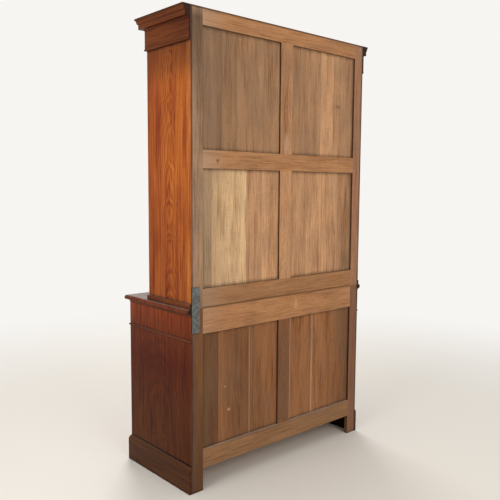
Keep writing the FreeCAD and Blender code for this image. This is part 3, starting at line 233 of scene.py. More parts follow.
def growth_lines(tree, parts, along, across, heart, clouds):
    """Growth lines of a plain-sawn board: long arches about its heart, straight beside it.

    The pitch drifts along the board, and the lines fade in and out with the clouds.
    """
    place, width, pitch = heart
    length = parts.outputs[along.upper()]
    drift = add(tree, "TexNoise", {"W": length, "Scale": 1 / (DRIFT_REACH * MM), "Detail": 1},
                noise_dimensions="1D")
    drift = add(tree, "Math", {0: drift.outputs["Fac"], 1: DRIFT_TURNS}, operation="MULTIPLY")
    off = add(tree, "Math", {0: parts.outputs[across], 1: place}, operation="SUBTRACT")
    off = add(tree, "Math", {0: off.outputs[0], 1: width * MM}, operation="DIVIDE")
    off = add(tree, "Math", {0: off.outputs[0], 1: off.outputs[0]}, operation="MULTIPLY")
    turns = add(tree, "Math", {0: length, 1: 1 / (pitch * MM), 2: off.outputs[0]},
                operation="MULTIPLY_ADD")
    turns = add(tree, "Math", {0: turns.outputs[0], 1: drift.outputs[0]}, operation="ADD")
    turns = add(tree, "Math", {0: clouds, 1: WANDER_TURNS, 2: turns.outputs[0]},
                operation="MULTIPLY_ADD")
    angle = add(tree, "Math", {0: turns.outputs[0], 1: math.tau}, operation="MULTIPLY")
    lines = add(tree, "Math", {0: angle.outputs[0]}, operation="SINE")
    # The clouds' middle is 0.5, and there the lines keep their strength
    faded = add(tree, "Math", {0: clouds, 1: 2.0}, operation="MULTIPLY")
    return add(tree, "Math", {0: lines.outputs[0], 1: faded.outputs[0]},
               operation="MULTIPLY").outputs[0]


def saw_marks(tree, moved, along, strength):
    """Ridges that the saw left across the grain, in patches."""
    kerfs = add(tree, "TexWave", {"Vector": moved,
                                  "Scale": math.tau / (WAVE_RADIANS * SAW_PITCH * MM),
                                  "Distortion": 2, "Detail": 2, "Detail Scale": 0.1},
                wave_type="BANDS", bands_direction=along.upper())
    patch = add(tree, "TexNoise", {"Vector": moved, "Scale": 1 / (SAW_PATCH * MM), "Detail": 2})
    amount = add(tree, "MapRange", {"Value": patch.outputs["Fac"], **LIMITS["saw_marks"],
                                    "To Max": strength})
    return add(tree, "Math", {0: kerfs.outputs["Fac"], 1: amount.outputs["Result"]},
               operation="MULTIPLY").outputs[0]


def dirt_patches(tree, moved, along, strength):
    """Soft patches of dirt, longer along the grain."""
    place = add(tree, "Mapping", {"Vector": moved, "Scale": drawn_out(along, DIRT_LENGTH)})
    patch = add(tree, "TexNoise", {"Vector": place.outputs["Vector"],
                                   "Scale": 1 / (DIRT_PATCH * MM), "Detail": 4, "Roughness": 0.6})
    return add(tree, "MapRange", {"Value": patch.outputs["Fac"], **LIMITS["dirt"],
                                  "To Max": strength}).outputs["Result"]


def near_end(tree, parts, clouds, strength):
    """Grows towards the near end of the back, with a cloudy edge."""
    near = add(tree, "Math", {0: clouds, 1: NEAR_END_WANDER, 2: parts.outputs["X"]},
               operation="MULTIPLY_ADD")
    return add(tree, "MapRange", {"Value": near.outputs[0], **LIMITS["near_end"],
                                  "To Max": strength}).outputs["Result"]


def panel_border(tree, parts, clouds, opening):
    """The border of a panel, along its rails and its outer stile, where dirt gathers and painted
    shade falls.
    """
    middle_z, half_z = opening
    inward = add(tree, "Math", {0: parts.outputs["X"]}, operation="ABSOLUTE")
    inward = add(tree, "Math", {0: stile_x, 1: inward.outputs[0]}, operation="SUBTRACT")
    upward = add(tree, "Math", {0: parts.outputs["Z"], 1: middle_z}, operation="SUBTRACT")
    upward = add(tree, "Math", {0: upward.outputs[0]}, operation="ABSOLUTE")
    upward = add(tree, "Math", {0: half_z, 1: upward.outputs[0]}, operation="SUBTRACT")
    near = add(tree, "Math", {0: inward.outputs[0], 1: upward.outputs[0]}, operation="MINIMUM")
    near = add(tree, "Math", {0: clouds, 1: BORDER_WANDER, 2: near.outputs[0]},
               operation="MULTIPLY_ADD")
    return add(tree, "MapRange", {"Value": near.outputs[0], **LIMITS["border"],
                                  "To Max": BORDER_DIRT}).outputs["Result"]


def frame_edges(tree, parts, facing, strength):
    """The inner edges of the oak frame, which dirt and painted shade darken: sunk below its rear
    face, and not facing inside.
    """
    sunk = add(tree, "Math", {0: parts.outputs["Y"], 1: back_y - CLEAR}, operation="LESS_THAN")
    on_edge = add(tree, "Math", {0: facing.outputs["Y"], 1: -FACING}, operation="GREATER_THAN")
    amount = add(tree, "Math", {0: sunk.outputs[0], 1: strength}, operation="MULTIPLY")
    return add(tree, "Math", {0: amount.outputs[0], 1: on_edge.outputs[0]},
               operation="MULTIPLY").outputs[0]


def ragged_mark(tree, place, facing, streaks, mark):
    """A knot or a smudge with a ragged edge, on faces towards the rear."""
    (x, z), (half_width, half_height), _, strength = mark
    off = add(tree, "VectorMath", {0: place, 1: (x, back_y, z)}, operation="SUBTRACT")
    off = add(tree, "VectorMath", {0: off.outputs["Vector"],
                                   1: (1 / (half_width * MM), 0, 1 / (half_height * MM))},
              operation="MULTIPLY")
    far = add(tree, "VectorMath", {0: off.outputs["Vector"]}, operation="LENGTH")
    far = add(tree, "Math", {0: streaks, 1: RAGGEDNESS, 2: far.outputs["Value"]},
              operation="MULTIPLY_ADD")
    amount = add(tree, "MapRange", {"Value": far.outputs[0], **LIMITS["mark"],
                                    "To Max": strength})
    behind = add(tree, "Math", {0: facing.outputs["Y"], 1: FACING}, operation="GREATER_THAN")
    return add(tree, "Math", {0: amount.outputs["Result"], 1: behind.outputs[0]},
               operation="MULTIPLY").outputs[0]


def settled_dust(tree, place, facing, strength):
    """Uneven dust and painted sheen on what faces up."""
    upward = add(tree, "MapRange", {"Value": facing.outputs["Z"], **LIMITS["facing_up"],
                                    "To Max": strength})
    cloud = add(tree, "TexNoise", {"Vector": place, "Scale": 1 / (DUST_PATCH * MM), "Detail": 4})
    settled = add(tree, "MapRange", {"Value": cloud.outputs["Fac"], **LIMITS["dust"],
                                     "To Min": LEAST_DUST})
    return add(tree, "Math", {0: upward.outputs["Result"], 1: settled.outputs["Result"]},
               operation="MULTIPLY").outputs[0]


def wood(name, tone, along, across="X", **given):
    """Timber drawn through the solid, so that its grain runs on over every edge.

    along is the grain's direction and across the board's width. given changes parts of
    WOOD_LOOK.
    """
    look = {**WOOD_LOOK, **given}
    material, tree, shader = new_material(name)
    place = add(tree, "TexCoord").outputs["Object"]
    geometry = add(tree, "NewGeometry")
    facing = add(tree, "SeparateXYZ", {"Vector": geometry.outputs["Normal"]})
    parts = add(tree, "SeparateXYZ", {"Vector": place})
    moved = add(tree, "VectorMath", {0: place, 1: [step * look["seed"] for step in SEED_STEPS]},
                operation="ADD").outputs["Vector"]
    base = linear(tone)
    boards = look["boards"]
    starts = [board[0] for board in boards]
    if boards:
        base = board_ramp(tree, parts.outputs[across], starts, [board[1:3] for board in boards])
    if len(boards) > 1:
        # Each board comes from another part of the log
        shares = [[grey((index * BOARD_TURN) % 1)] * 2 for index in range(len(boards))]
        shift = board_ramp(tree, parts.outputs[across], starts, shares)
        shift = add(tree, "VectorMath", {0: shift, 1: BOARD_SHIFT}, operation="MULTIPLY")
        moved = add(tree, "VectorMath", {0: moved, 1: shift.outputs["Vector"]},
                    operation="ADD").outputs["Vector"]

    # Grain: clouds, streaks and growth lines make one level, which a ramp turns into a tint
    long = add(tree, "Mapping", {"Vector": moved, "Scale": drawn_out(along, CLOUD_LENGTH)})
    clouds = add(tree, "TexNoise", {"Vector": long.outputs["Vector"],
                                    "Scale": 1 / (CLOUD_WIDTH * MM), "Detail": 2}).outputs["Fac"]
    long = add(tree, "Mapping", {"Vector": moved, "Scale": drawn_out(along, STREAK_LENGTH)})
    streaks = add(tree, "TexNoise", {"Vector": long.outputs["Vector"],
                                     "Scale": 1 / (look["width"] * MM), "Detail": 5,
                                     "Roughness": 0.62}).outputs["Fac"]
    lines = growth_lines(tree, parts, along, across, look["heart"], clouds)
    # Keeps the level at 0.5 where clouds and streaks are at theirs
    balance = 0.5 - 0.5 * (look["broad"] + look["streak"])
    level = add(tree, "Math", {0: clouds, 1: look["broad"], 2: balance},
                operation="MULTIPLY_ADD")
    level = add(tree, "Math", {0: streaks, 1: look["streak"], 2: level.outputs[0]},
                operation="MULTIPLY_ADD")
    level = add(tree, "Math", {0: lines, 1: look["line"], 2: level.outputs[0]},
                operation="MULTIPLY_ADD")
    grain = add(tree, "ValToRGB", {"Fac": level.outputs[0]},
                stops=list(zip(GRAIN_LEVELS, (look["tint"], look["middle"], "FFFFFF"))))
    colour = add(tree, "Mix", {FACTOR: 1.0, FIRST: base, SECOND: grain.outputs["Color"]},
                 data_type="RGBA", blend_type="MULTIPLY").outputs[MIXED]

    # What lies over the grain, painted shade among it, in this order: an amount and a tone each
    long = add(tree, "Mapping", {"Vector": moved, "Scale": drawn_out(along, PORE_LENGTH)})
    pores = add(tree, "TexNoise", {"Vector": long.outputs["Vector"],
                                   "Scale": 1 / (PORE_WIDTH * MM), "Detail": 1})
    open_pores = add(tree, "MapRange", {"Value": pores.outputs["Fac"], **LIMITS["pores"]})
    depth = add(tree, "Math", {0: open_pores.outputs["Result"], 1: look["pore"]},
                operation="MULTIPLY")
    relief = add(tree, "Math", {0: open_pores.outputs["Result"], 1: PORE_RELIEF, 2: streaks},
                 operation="MULTIPLY_ADD").outputs[0]
    layers = [(depth.outputs[0], TONES["pores"])]
    if look["saw"]:
        ridge = saw_marks(tree, moved, along, look["saw"])
        relief = add(tree, "Math", {0: ridge, 1: SAW_RELIEF, 2: relief},
                     operation="MULTIPLY_ADD").outputs[0]
        layers.append((ridge, TONES["saw_marks"]))
    if look["grime"]:
        layers.append((dirt_patches(tree, moved, along, look["grime"]), look["grime_tone"]))
    if look["stain"]:
        layers.append((near_end(tree, parts, clouds, look["stain"]), TONES["near_end"]))
    for start, _, _, darkness in boards[1:]:
        joint = add(tree, "Math", {0: parts.outputs[across], 1: start, 2: JOINT_HALF},
                    operation="COMPARE")
        joint = add(tree, "Math", {0: joint.outputs[0], 1: darkness}, operation="MULTIPLY")
        layers.append((joint.outputs[0], TONES["joint"]))
    # Dirt and painted shade along a panel's border
    if look["opening"]:
        layers.append((panel_border(tree, parts, clouds, look["opening"]), TONES["border"]))
    # Dirt and painted shade on the oak frame's inner edges
    if look["recess"]:
        layers.append((frame_edges(tree, parts, facing, look["recess"]), TONES["frame_edge"]))
    for mark in look["marks"]:
        layers.append((ragged_mark(tree, place, facing, streaks, mark), mark[2]))
    # Dark polish and dirt in the corners, and painted shade there
    if look["crevice"]:
        corner = add(tree, "AmbientOcclusion", {"Distance": CORNER_REACH}, samples=6)
        amount = add(tree, "MapRange", {"Value": corner.outputs["AO"], **LIMITS["corner"],
                                        "To Max": look["crevice"]})
        layers.append((amount.outputs["Result"], TONES["corner"]))
    for amount, layer_tone in layers:
        colour = add(tree, "Mix", {FACTOR: amount, FIRST: colour, SECOND: linear(layer_tone)},
                     data_type="RGBA").outputs[MIXED]
    # Painted light and shade by height
    if look["shade"]:
        low, high = look["shade"][0][0], look["shade"][-1][0]
        height = add(tree, "MapRange", {"Value": parts.outputs["Z"], "From Min": low,
                                        "From Max": high})
        stops = [((z - low) / (high - low), light if isinstance(light, str) else grey(light))
                 for z, light in look["shade"]]
        ramp = add(tree, "ValToRGB", {"Fac": height.outputs["Result"]}, stops=stops)
        colour = add(tree, "Mix", {FACTOR: 1.0, FIRST: colour, SECOND: ramp.outputs["Color"]},
                     data_type="RGBA", blend_type="MULTIPLY").outputs[MIXED]

    # Edges are eased and rubbed lighter
    eased = add(tree, "Bevel", {"Radius": EASED}, samples=4)
    flat = add(tree, "VectorMath", {0: eased.outputs["Normal"], 1: geometry.outputs["Normal"]},
               operation="DOT_PRODUCT")
    worn = add(tree, "MapRange", {"Value": flat.outputs["Value"], **LIMITS["worn_edge"],
                                  "To Max": look["edge"]})
    rubbed = add(tree, "Mix", {FACTOR: 1.0, FIRST: base, SECOND: linear(TONES["worn_edge"])},
                 data_type="RGBA", blend_type="MULTIPLY")
    colour = add(tree, "Mix", {FACTOR: worn.outputs["Result"], FIRST: colour,
                               SECOND: rubbed.outputs[MIXED]}, data_type="RGBA").outputs[MIXED]
    # Dust on what faces up, and painted sheen there
    if look["dust"]:
        amount = settled_dust(tree, place, facing, look["dust"])
        colour = add(tree, "Mix", {FACTOR: amount, FIRST: colour,
                                   SECOND: linear(TONES["dust"])}, data_type="RGBA").outputs[MIXED]

    roughness = add(tree, "MapRange", {"Value": streaks, **LIMITS["roughness"],
                                       "To Min": look["rough"] - ROUGH_SPREAD,
                                       "To Max": look["rough"] + ROUGH_SPREAD})
    bump = add(tree, "Bump", {"Height": relief, "Strength": 0.5, "Distance": RELIEF_DEPTH,
                              "Normal": eased.outputs["Normal"]})
    tree.links.new(colour, shader.inputs["Base Color"])
    tree.links.new(roughness.outputs["Result"], shader.inputs["Roughness"])
    tree.links.new(bump.outputs["Normal"], shader.inputs["Normal"])
    shader.inputs["Specular IOR Level"].default_value = look["gloss"]
    shader.inputs["Coat Weight"].default_value = look["coat"]
    shader.inputs["Coat Roughness"].default_value = COAT_ROUGH
    return material


def mahogany(name, tone, along="z", across="X", **given):
    """French-polished mahogany, as planed, scraped and rubbed with shellac by hand.

    The eye sees a warm red-brown with ribbon streaks, short dark pores and a soft gloss.
    """
    look = {"tint": "9C5438", "middle": "DECCBF", "broad": 0.6, "streak": 1.2, "line": 0.07,
            "pore": 0.35, "rough": 0.33, "coat": 0.1, "gloss": 0.2, "edge": 0.2,
            "crevice": 0.8, **given}
    return wood("polished_mahogany_" + name, tone, along, across, **look)


def oak(name, tone, along="z", across="X", **given):
    """Bare old oak, as it came from the saw and a coarse plane, never finished.

    The eye sees a dull grey-brown with close fibres, saw marks and patches of dirt.
    """
    look = {"tint": "A08C7C", "broad": 0.45, "streak": 0.7, "line": 0.05, "width": 6, "pore": 0.3,
            "saw": 0.32, "grime": 0.22, "crevice": 0.5, "rough": 0.75, "gloss": 0.08, "edge": 0.3,
            **given}
    return wood("aged_oak_" + name, tone, along, across, **look)


def pine(name, along, across, seed):
    """Bare old pine, planed and left: golden and dull, with wide growth layers and few pores."""
    return wood("aged_pine_" + name, "C59A66", along, across, seed=seed, tint="B88A5C", line=0.14,
                pore=0.05, rough=0.6, gloss=0.3)


def mottled(name, stops, blotch, detail, rough, eased, relief):
    """A surface whose colour, roughness and relief all follow one pattern of blotches.

    stops are its colours and blotch the blotches' size. rough is the roughness between two
    limits of the pattern. eased is the edges' radius, and relief the bump's strength and depth.
    Sizes are millimetres.
    """
    material, tree, shader = new_material(name)
    place = add(tree, "TexCoord").outputs["Object"]
    cloud = add(tree, "TexNoise", {"Vector": place, "Scale": 1 / (blotch * MM),
                                   "Detail": detail}).outputs["Fac"]
    colour = add(tree, "ValToRGB", {"Fac": cloud}, stops=stops)
    (low, low_rough), (high, high_rough) = rough
    roughness = add(tree, "MapRange", {"Value": cloud, "From Min": low, "From Max": high,
                                       "To Min": low_rough, "To Max": high_rough})
    edges = add(tree, "Bevel", {"Radius": eased * MM}, samples=4)
    strength, depth = relief
    bump = add(tree, "Bump", {"Height": cloud, "Strength": strength, "Distance": depth * MM,
                              "Normal": edges.outputs["Normal"]})
    tree.links.new(colour.outputs["Color"], shader.inputs["Base Color"])
    tree.links.new(roughness.outputs["Result"], shader.inputs["Roughness"])
    tree.links.new(bump.outputs["Normal"], shader.inputs["Normal"])
    return material, shader


def metal(name, tone, dark, rough, blotch):
    """Solid metal, filed and polished once. A mottled tarnish has dulled it since."""
    material, shader = mottled(name, [(0.35, dark), (0.62, tone)], blotch, 5,
                               ((0.35, rough + 0.15), (0.65, rough)), 0.4, (0.3, 0.1))
    shader.inputs["Metallic"].default_value = 1
    return material


def painted_steel():
    """Sheet steel, cut, drilled and brushed with one thin coat of blue-grey paint.

    The eye sees a matt film, mottled, worn through and stained brown in places.
    """
    worn_paint = [(0.34, "4A3F36"), (0.46, "4A4B48"), (0.58, "555B59"), (0.72, "636967")]
    return mottled("painted_sheet_steel", worn_paint, 14, 6, ((0.3, 0.7), (0.7, 0.45)), 0.8,
                   (0.4, 0.2))[0]


def window_glass():
    """Thin window glass, drawn as a sheet: clear, with a trace of green and faint waves."""
    material, tree, shader = new_material("drawn_window_glass")
    place = add(tree, "TexCoord").outputs["Object"]
    wave = add(tree, "TexNoise", {"Vector": place, "Scale": 1 / (GLASS_WAVE * MM), "Detail": 1})
    bump = add(tree, "Bump", {"Height": wave.outputs["Fac"], "Strength": 0.25,
                              "Distance": 1.5 * MM})
    tree.links.new(bump.outputs["Normal"], shader.inputs["Normal"])
    shader.inputs["Base Color"].default_value = linear("F2F8F4")
    shader.inputs["Roughness"].default_value = 0.02
    shader.inputs["Transmission Weight"].default_value = 1
    shader.inputs["IOR"].default_value = 1.5
    return material


def dress(name, *choices):
    """Gives a node its finishes. Each choice is a material and a test of a face's centre."""
    thing = nodes[name]
    thing.data.materials.clear()
    for material, _ in choices:
        thing.data.materials.append(material)
    for face in thing.data.polygons:
        face.material_index = next(index for index, (_, test) in enumerate(choices)
                                   if test is None or test(face.center))


# Mahogany of the two stages
# Side boards of the upper stage: faded orange by the sun, with worn polish that hardly shines.
# Redder streaks of old polish are left, the front board is darker, and painted shade darkens
# the top and the bottom.
side_upper = mahogany(
    "upper_side", "B86020", across="Y", seed=3.0, heart=(0.125, 40, 110), line=0.11,
    boards=[(upper_front_y, "B06024", "BE6E2E", 0.0), (0.262, "CE8038", "CE8038", 0.0)],
    grime=0.5, grime_tone="7A3014", gloss=0.06, coat=0.0,
    shade=[(waist_z, 0.68), (1.1, 0.83), (1.6, 0.93), (2.0, 0.92), (2.1, 0.56), (2.2, 0.42)])
# Side boards of the lower stage: dark, and darker still below the drawers from painted shade,
# browner towards the floor, and nearly black with a painted shadow in the joint over the plinth.
side_lower = mahogany(
    "lower_side", "9A4A1E", across="Y", seed=11.0, heart=(0.02, 90, 130), line=0.08,
    grime=0.45, grime_tone="6A2410", gloss=0.06, coat=0.0,
    shade=[(plinth_z, 0.05), (plinth_z + 7 * MM, 0.07), (plinth_z + 11 * MM, "95AEA0"),
           (0.4, "939E90"), (0.62, "958470"), (0.74, 0.40), (0.9, 0.77)])
# Rear edge of a side board: sawn, bare and dusty, darkened by painted shade below the waist and
# at the top, and nearly black with a painted shadow where it meets the joining plate
side_edge = mahogany(
    "side_edge", "7E5E52", seed=4.0, pore=0.1, coat=0.0, edge=0.05,
    shade=[(0.0, 0.35), (0.809, 0.45), (0.811, 0.12), (1.032, 0.12), (1.034, 0.9), (1.8, 0.75),
           (2.15, 0.42)])
# Inner face of a side board: planed, bare, brown and dull
side_inside = mahogany("side_inside", "96623C", seed=16.0, coat=0.0, gloss=0.05)
# Mouldings: worked with planes, stained dark under the polish, with dust and painted sheen on
# what faces up, and darker along the cornice's top edge
sooty_cornice = [(top_z - 9 * MM, 1.0), (top_z - 7 * MM, 0.45)]
side_mouldings = mahogany("mouldings", "713C14", "y", "Z", seed=5.0, dust=0.25, streak=0.9,
                          grime=0.6, grime_tone="3A1A0C", gloss=0.06, coat=0.0,
                          shade=sooty_cornice)
front_mouldings = mahogany("front_mouldings", "70390F", "x", "Z", seed=6.0, dust=0.25,
                           streak=0.9, gloss=0.08, coat=0.0, shade=sooty_cornice)
# Plinth: the darkest boards, scuffed, with dust and painted sheen on their moulded edge
side_plinth = mahogany("plinth", "523318", "y", "Z", seed=8.0, dust=0.5, streak=0.9,
                       gloss=0.08, coat=0.0)
front_plinth = mahogany("plinth_front", "52341A", "x", "Z", seed=9.0, dust=0.5, streak=0.9,
                        gloss=0.08, coat=0.0)
# Ledge over the drawers: its polish is dulled by use under a film of dust, whose pale grey also
# stands in for painted sheen
ledge = mahogany("ledge", "703A20", "x", "Y", seed=10.0, dust=0.36, coat=0.0, gloss=0.06,
                 rough=0.45)
# Cut ends of the mouldings at the back: sawn end grain, almost black with dirt
cut_ends = mahogany("cut_ends", "3A2D25", "x", "Z", seed=13.0, dust=0.25, coat=0.0, gloss=0.03)
# Inner faces of the plinth: rough, and painted nearly black as the shade under the cupboard
plinth_inside = mahogany("plinth_inside", "1E1614", "y", "Z", seed=15.0, coat=0.0, gloss=0.03)
# Doors and drawers: the best wood, kept polished, with the liveliest boards in panels and fronts
rail_wood = mahogany("rails", "A65C34", "x", "Z", seed=12.0)
stile_wood = mahogany("stiles", "AC6036", seed=14.0)
panel_wood = mahogany("panels", "B05E2E", seed=17.0, heart=(0.3, 50, 110), line=0.08)
drawer_wood = mahogany("drawer_fronts", "B05E2E", "x", "Z", seed=19.0, heart=(0.83, 26, 120),
                       line=0.08)
# Knobs: turned, darker and shinier than the fronts, because hands keep them polished
turned_wood = mahogany("knobs", "8A4A2C", "y", seed=21.0, coat=0.2, gloss=0.2, rough=0.36)


def front_of(centre):
    """The front plane of the stage that a place belongs to."""
    return upper_front_y if centre.z > waist_z else lower_front_y


def on_return(centre):
    """True on the side returns of a moulding, false on its front length."""
    return abs(centre.x) - side_x > front_of(centre) - centre.y


def rear_end(name):
    """A test that is true on the faces at the rear end of a node."""
    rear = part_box(name)[1].y - CLOSE
    return lambda centre: centre.y > rear


def inside(centre):
    """True on the inner face of a side board."""
    return abs(centre.x) < side_x - CLEAR


def inside_plinth(centre):
    """True on a side board's inner face below the bottom board."""
    return inside(centre) and centre.z < bottom_board_z - CLEAR


def behind_plinth(centre):
    """True on the plinth's inner faces."""
    return abs(centre.x) < side_x + CLEAR and centre.y > lower_front_y + CLEAR


for side in ("right", "left"):
    for stage, finish in (("upper", side_upper), ("lower", side_lower)):
        dress(f"{stage}_side_{side}", (side_edge, lambda centre: centre.y > back_y - CLEAR),
              (plinth_inside, inside_plinth), (side_inside, inside), (finish, None))
for name in ("frieze", "cornice_moulding", "upper_base_moulding", "top_bed_moulding",
             "drawer_bead"):
    dress(name, (cut_ends, rear_end(name)), (side_mouldings, on_return), (front_mouldings, None))
dress("plinth", (plinth_inside, behind_plinth), (side_plinth, on_return), (front_plinth, None))
dress("lower_top_board", (cut_ends, rear_end("lower_top_board")), (ledge, None))
for name in ("upper_front_rail", "drawer_rails", "door_stops"):
    dress(name, (rail_wood, None))


# Oak back: panels in a frame
# Panels: thin sawn boards, glued edge to edge and roughly planed. The eye sees how the boards
# differ in brightness, dark lines at their joints, a few knots, and dirt and painted shade
# along the rails.
# Their woods are heartwood, pale sapwood, and the lower back's darkened heartwood.
BOARD_WOODS = {"heart": "CC9F76", "sap": "E6C294", "dark": "946642"}
# Boards run from -X to +X: where each starts, its wood, its brightness at both edges, and how
# dark its joint is
PANEL_BOARDS = {
    "top": [(-0.600, "heart", 0.61, 0.88, 0.0), (-0.389, "heart", 1.00, 1.04, 0.4),
            (-0.278, "heart", 0.78, 0.81, 0.5), (-0.150, "heart", 0.66, 0.66, 0.3),
            (0.0, "heart", 0.75, 0.65, 0.0), (0.155, "heart", 0.65, 0.65, 0.3),
            (0.345, "heart", 0.53, 0.53, 0.5), (0.440, "heart", 0.42, 0.42, 0.4)],
    "middle": [(-0.600, "heart", 0.66, 0.85, 0.0), (-0.440, "heart", 1.00, 1.02, 0.3),
               (-0.300, "heart", 1.00, 1.00, 0.3), (-0.170, "heart", 0.89, 0.89, 0.3),
               (0.0, "heart", 1.07, 1.03, 0.0), (0.170, "heart", 0.90, 0.90, 0.3),
               (0.272, "sap", 1.10, 1.10, 0.7), (0.290, "sap", 1.00, 0.74, 0.0),
               (0.500, "sap", 0.52, 0.52, 0.0)],
    "low": [(-0.600, "dark", 0.54, 1.36, 0.0), (-0.245, "heart", 0.75, 0.75, 0.2),
            (-0.228, "dark", 1.14, 1.14, 0.5), (-0.062, "heart", 0.98, 0.98, 0.3),
            (0.0, "dark", 1.08, 0.90, 0.0), (0.240, "heart", 0.67, 0.67, 0.4),
            (0.250, "dark", 0.69, 0.92, 0.0), (0.460, "dark", 0.53, 0.53, 0.6)],
}
# Heights of the panels between their rails
PANEL_HEIGHTS = {"top": (1.692, 2.268), "middle": (1.022, 1.604), "low": (0.212, 0.798)}
# Knots and smudges: place, half width and height in millimetres, tone, strength
PANEL_MARKS = {
    "top": [((-0.43, 1.98), (34, 14), "5E4632", 0.5)],
    "middle": [((-0.51, 1.08), (50, 100), "6E5440", 0.7),
               ((0.60, 1.12), (50, 160), "7A6450", 0.3)],
    "low": [((0.385, 0.375), (12, 10), "B58E62", 0.8), ((0.41, 0.50), (10, 8), "A88058", 0.6)],
}
# Grey of the near end: none on the lower panels
PANEL_STAINS = {"top": 0.35, "middle": 0.35, "low": 0.0}

panel_oak = {}
for index, (row, (low_z, high_z)) in enumerate(PANEL_HEIGHTS.items()):
    boards = [(start, lit(BOARD_WOODS[kind], first), lit(BOARD_WOODS[kind], last), joint)
              for start, kind, first, last, joint in PANEL_BOARDS[row]]
    panel_oak[row] = oak(
        "panels_" + row, "A07855", seed=2.0 + 3.5 * index, boards=boards, broad=0.65, streak=1.0,
        saw=0.22, grime=0.3, stain=PANEL_STAINS[row], marks=PANEL_MARKS[row], crevice=0.2,
        opening=((low_z + high_z) / 2, (high_z - low_z) / 2))
middle_rail_z = (PANEL_HEIGHTS["middle"][1] + PANEL_HEIGHTS["top"][0]) / 2

# Frame of the back: sawn oak, planed on its face only. Its edges are dark with old dirt and
# painted shade, it is darker along its top, and the near stile has gone grey. Below the waist it
# is browner.
sooty_top = [(top_z - 8 * MM, 1.0), (top_z - 6 * MM, 0.35)]
# Painted light on the near stile's middle, painted shade at the waist and the top
near_stile = oak("near_stile", "A8896C", seed=31.0, broad=0.6, streak=0.85, saw=0.5, grime=0.45,
                 recess=0.7, shade=[(waist_z, 0.90), (1.2, 1.10), (1.8, 0.97), (2.3, 0.47),
                                    *sooty_top])
far_stile = oak("far_stile", "A87E60", seed=33.0, recess=0.8, shade=[(waist_z, 1.0), *sooty_top])
# Painted shade darkens the low stile towards the floor
low_stile = oak("low_stile", "7B5434", seed=35.0, recess=0.8,
                shade=[(0.0, 0.68), (0.45, 0.88), (0.9, 1.0)])
far_low_stile = oak("far_low_stile", "88624A", seed=36.0, recess=0.8)
# A painted shadow along the joint at the waist, and the bottom rail darker
rail_oak = oak("rails", "B6865C", "x", "Z", seed=37.0, streak=0.95, saw=0.15, stain=0.75,
               recess=0.6, marks=[((0.47, 1.640), (14, 16), "4A3424", 0.65)],
               shade=[(waist_z + 1 * MM, 0.25), (waist_z + 4 * MM, 0.82), (1.0, 0.82), (1.1, 1.0),
                      (1.66, 1.0), *sooty_top])
# Foot rails: dust, and a painted highlight, on their top faces
foot_rail_oak = oak("foot_rails", "95704E", "x", "Z", seed=39.0, streak=0.95, saw=0.15,
                    dust=0.9, recess=0.6)
# A painted shadow along its top, in the joint at the waist
waist_rail_oak = oak("waist_rail", "B6865C", "x", "Z", seed=41.0, streak=0.95, saw=0.15,
                     stain=0.4, recess=0.6, marks=[((-0.09, 0.872), (16, 44), "D2A876", 0.3)],
                     shade=[(waist_z - 6 * MM, 1.0), (waist_z - 2 * MM, 0.5)])
# Painted shade darkens the muntins' upper part
muntin_oak = oak("muntins", "C6966C", seed=43.0, broad=0.65, streak=1.0, recess=0.9,
                 marks=[((0.0, 1.745), (30, 60), "D2AC8C", 0.4),
                        ((0.012, 1.42), (12, 80), "BE7448", 0.5)],
                 shade=[(1.60, 1.0), (1.70, 0.88), (top_z, 0.80)])
low_muntin_oak = oak("low_muntin", "825A3D", seed=44.0, recess=0.9)

dress("upper_back_panels", (panel_oak["top"], lambda centre: centre.z > middle_rail_z),
      (panel_oak["middle"], None))
dress("lower_back_panels", (panel_oak["low"], None))
dress("upper_back_stiles", (near_stile, lambda centre: centre.x > 0), (far_stile, None))
dress("upper_back_rails", (rail_oak, None))
dress("upper_back_muntins", (muntin_oak, None))
dress("lower_back_frame", (low_stile, lambda centre: centre.x > stile_x + CLOSE),
      (far_low_stile, lambda centre: centre.x < -stile_x - CLOSE),
      (waist_rail_oak, lambda centre: centre.z > PANEL_HEIGHTS["low"][1] - CLEAR),
      (foot_rail_oak, lambda centre: centre.z < PANEL_HEIGHTS["low"][0] + CLEAR),
      (low_muntin_oak, None))

# Bare wood inside: pine boards, ratchets and runners, and the drawers' planed oak linings
pine_along_x = pine("boards", "x", "Y", 51.0)
pine_upright = pine("ratchets", "z", "X", 53.0)
pine_along_y = pine("runners", "y", "Z", 55.0)
drawer_oak = oak("drawer_linings", "B98F66", "y", "Z", seed=57.0, saw=0.1)
for name in ("upper_top_board", "upper_bottom_board", "lower_bottom_board", "shelves",
             "glue_blocks"):
    dress(name, (pine_along_x, None))
dress("shelf_ratchets", (pine_upright, None))
for name in ("shelf_bearers", "drawer_runners", "dust_boards"):
    dress(name, (pine_along_y, None))

# Doors, drawers and ironmongery
# Brass is cast, filed and lacquered long ago: yellow, with brown spots that don't shine.
brass = metal("aged_brass", "BE9350", "9A7440", 0.34, 9)
# Steel of screws, keys and bolts is forged or turned: grey, browned where it was handled.
steel = metal("dull_steel", "7E7A74", "4A4440", 0.42, 4)
glass = window_glass()
# How far inside its mouldings' edges a place on a door's frame lies on a rail
MOULDING_INSET = 8 * MM


def rail_test(mouldings):
    """A test that is true between a door's stiles, above or below its opening."""
    low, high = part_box(mouldings)
    return lambda centre: (low.x + MOULDING_INSET < centre.x < high.x - MOULDING_INSET
                           and not low.z + MOULDING_INSET < centre.z < high.z - MOULDING_INSET)


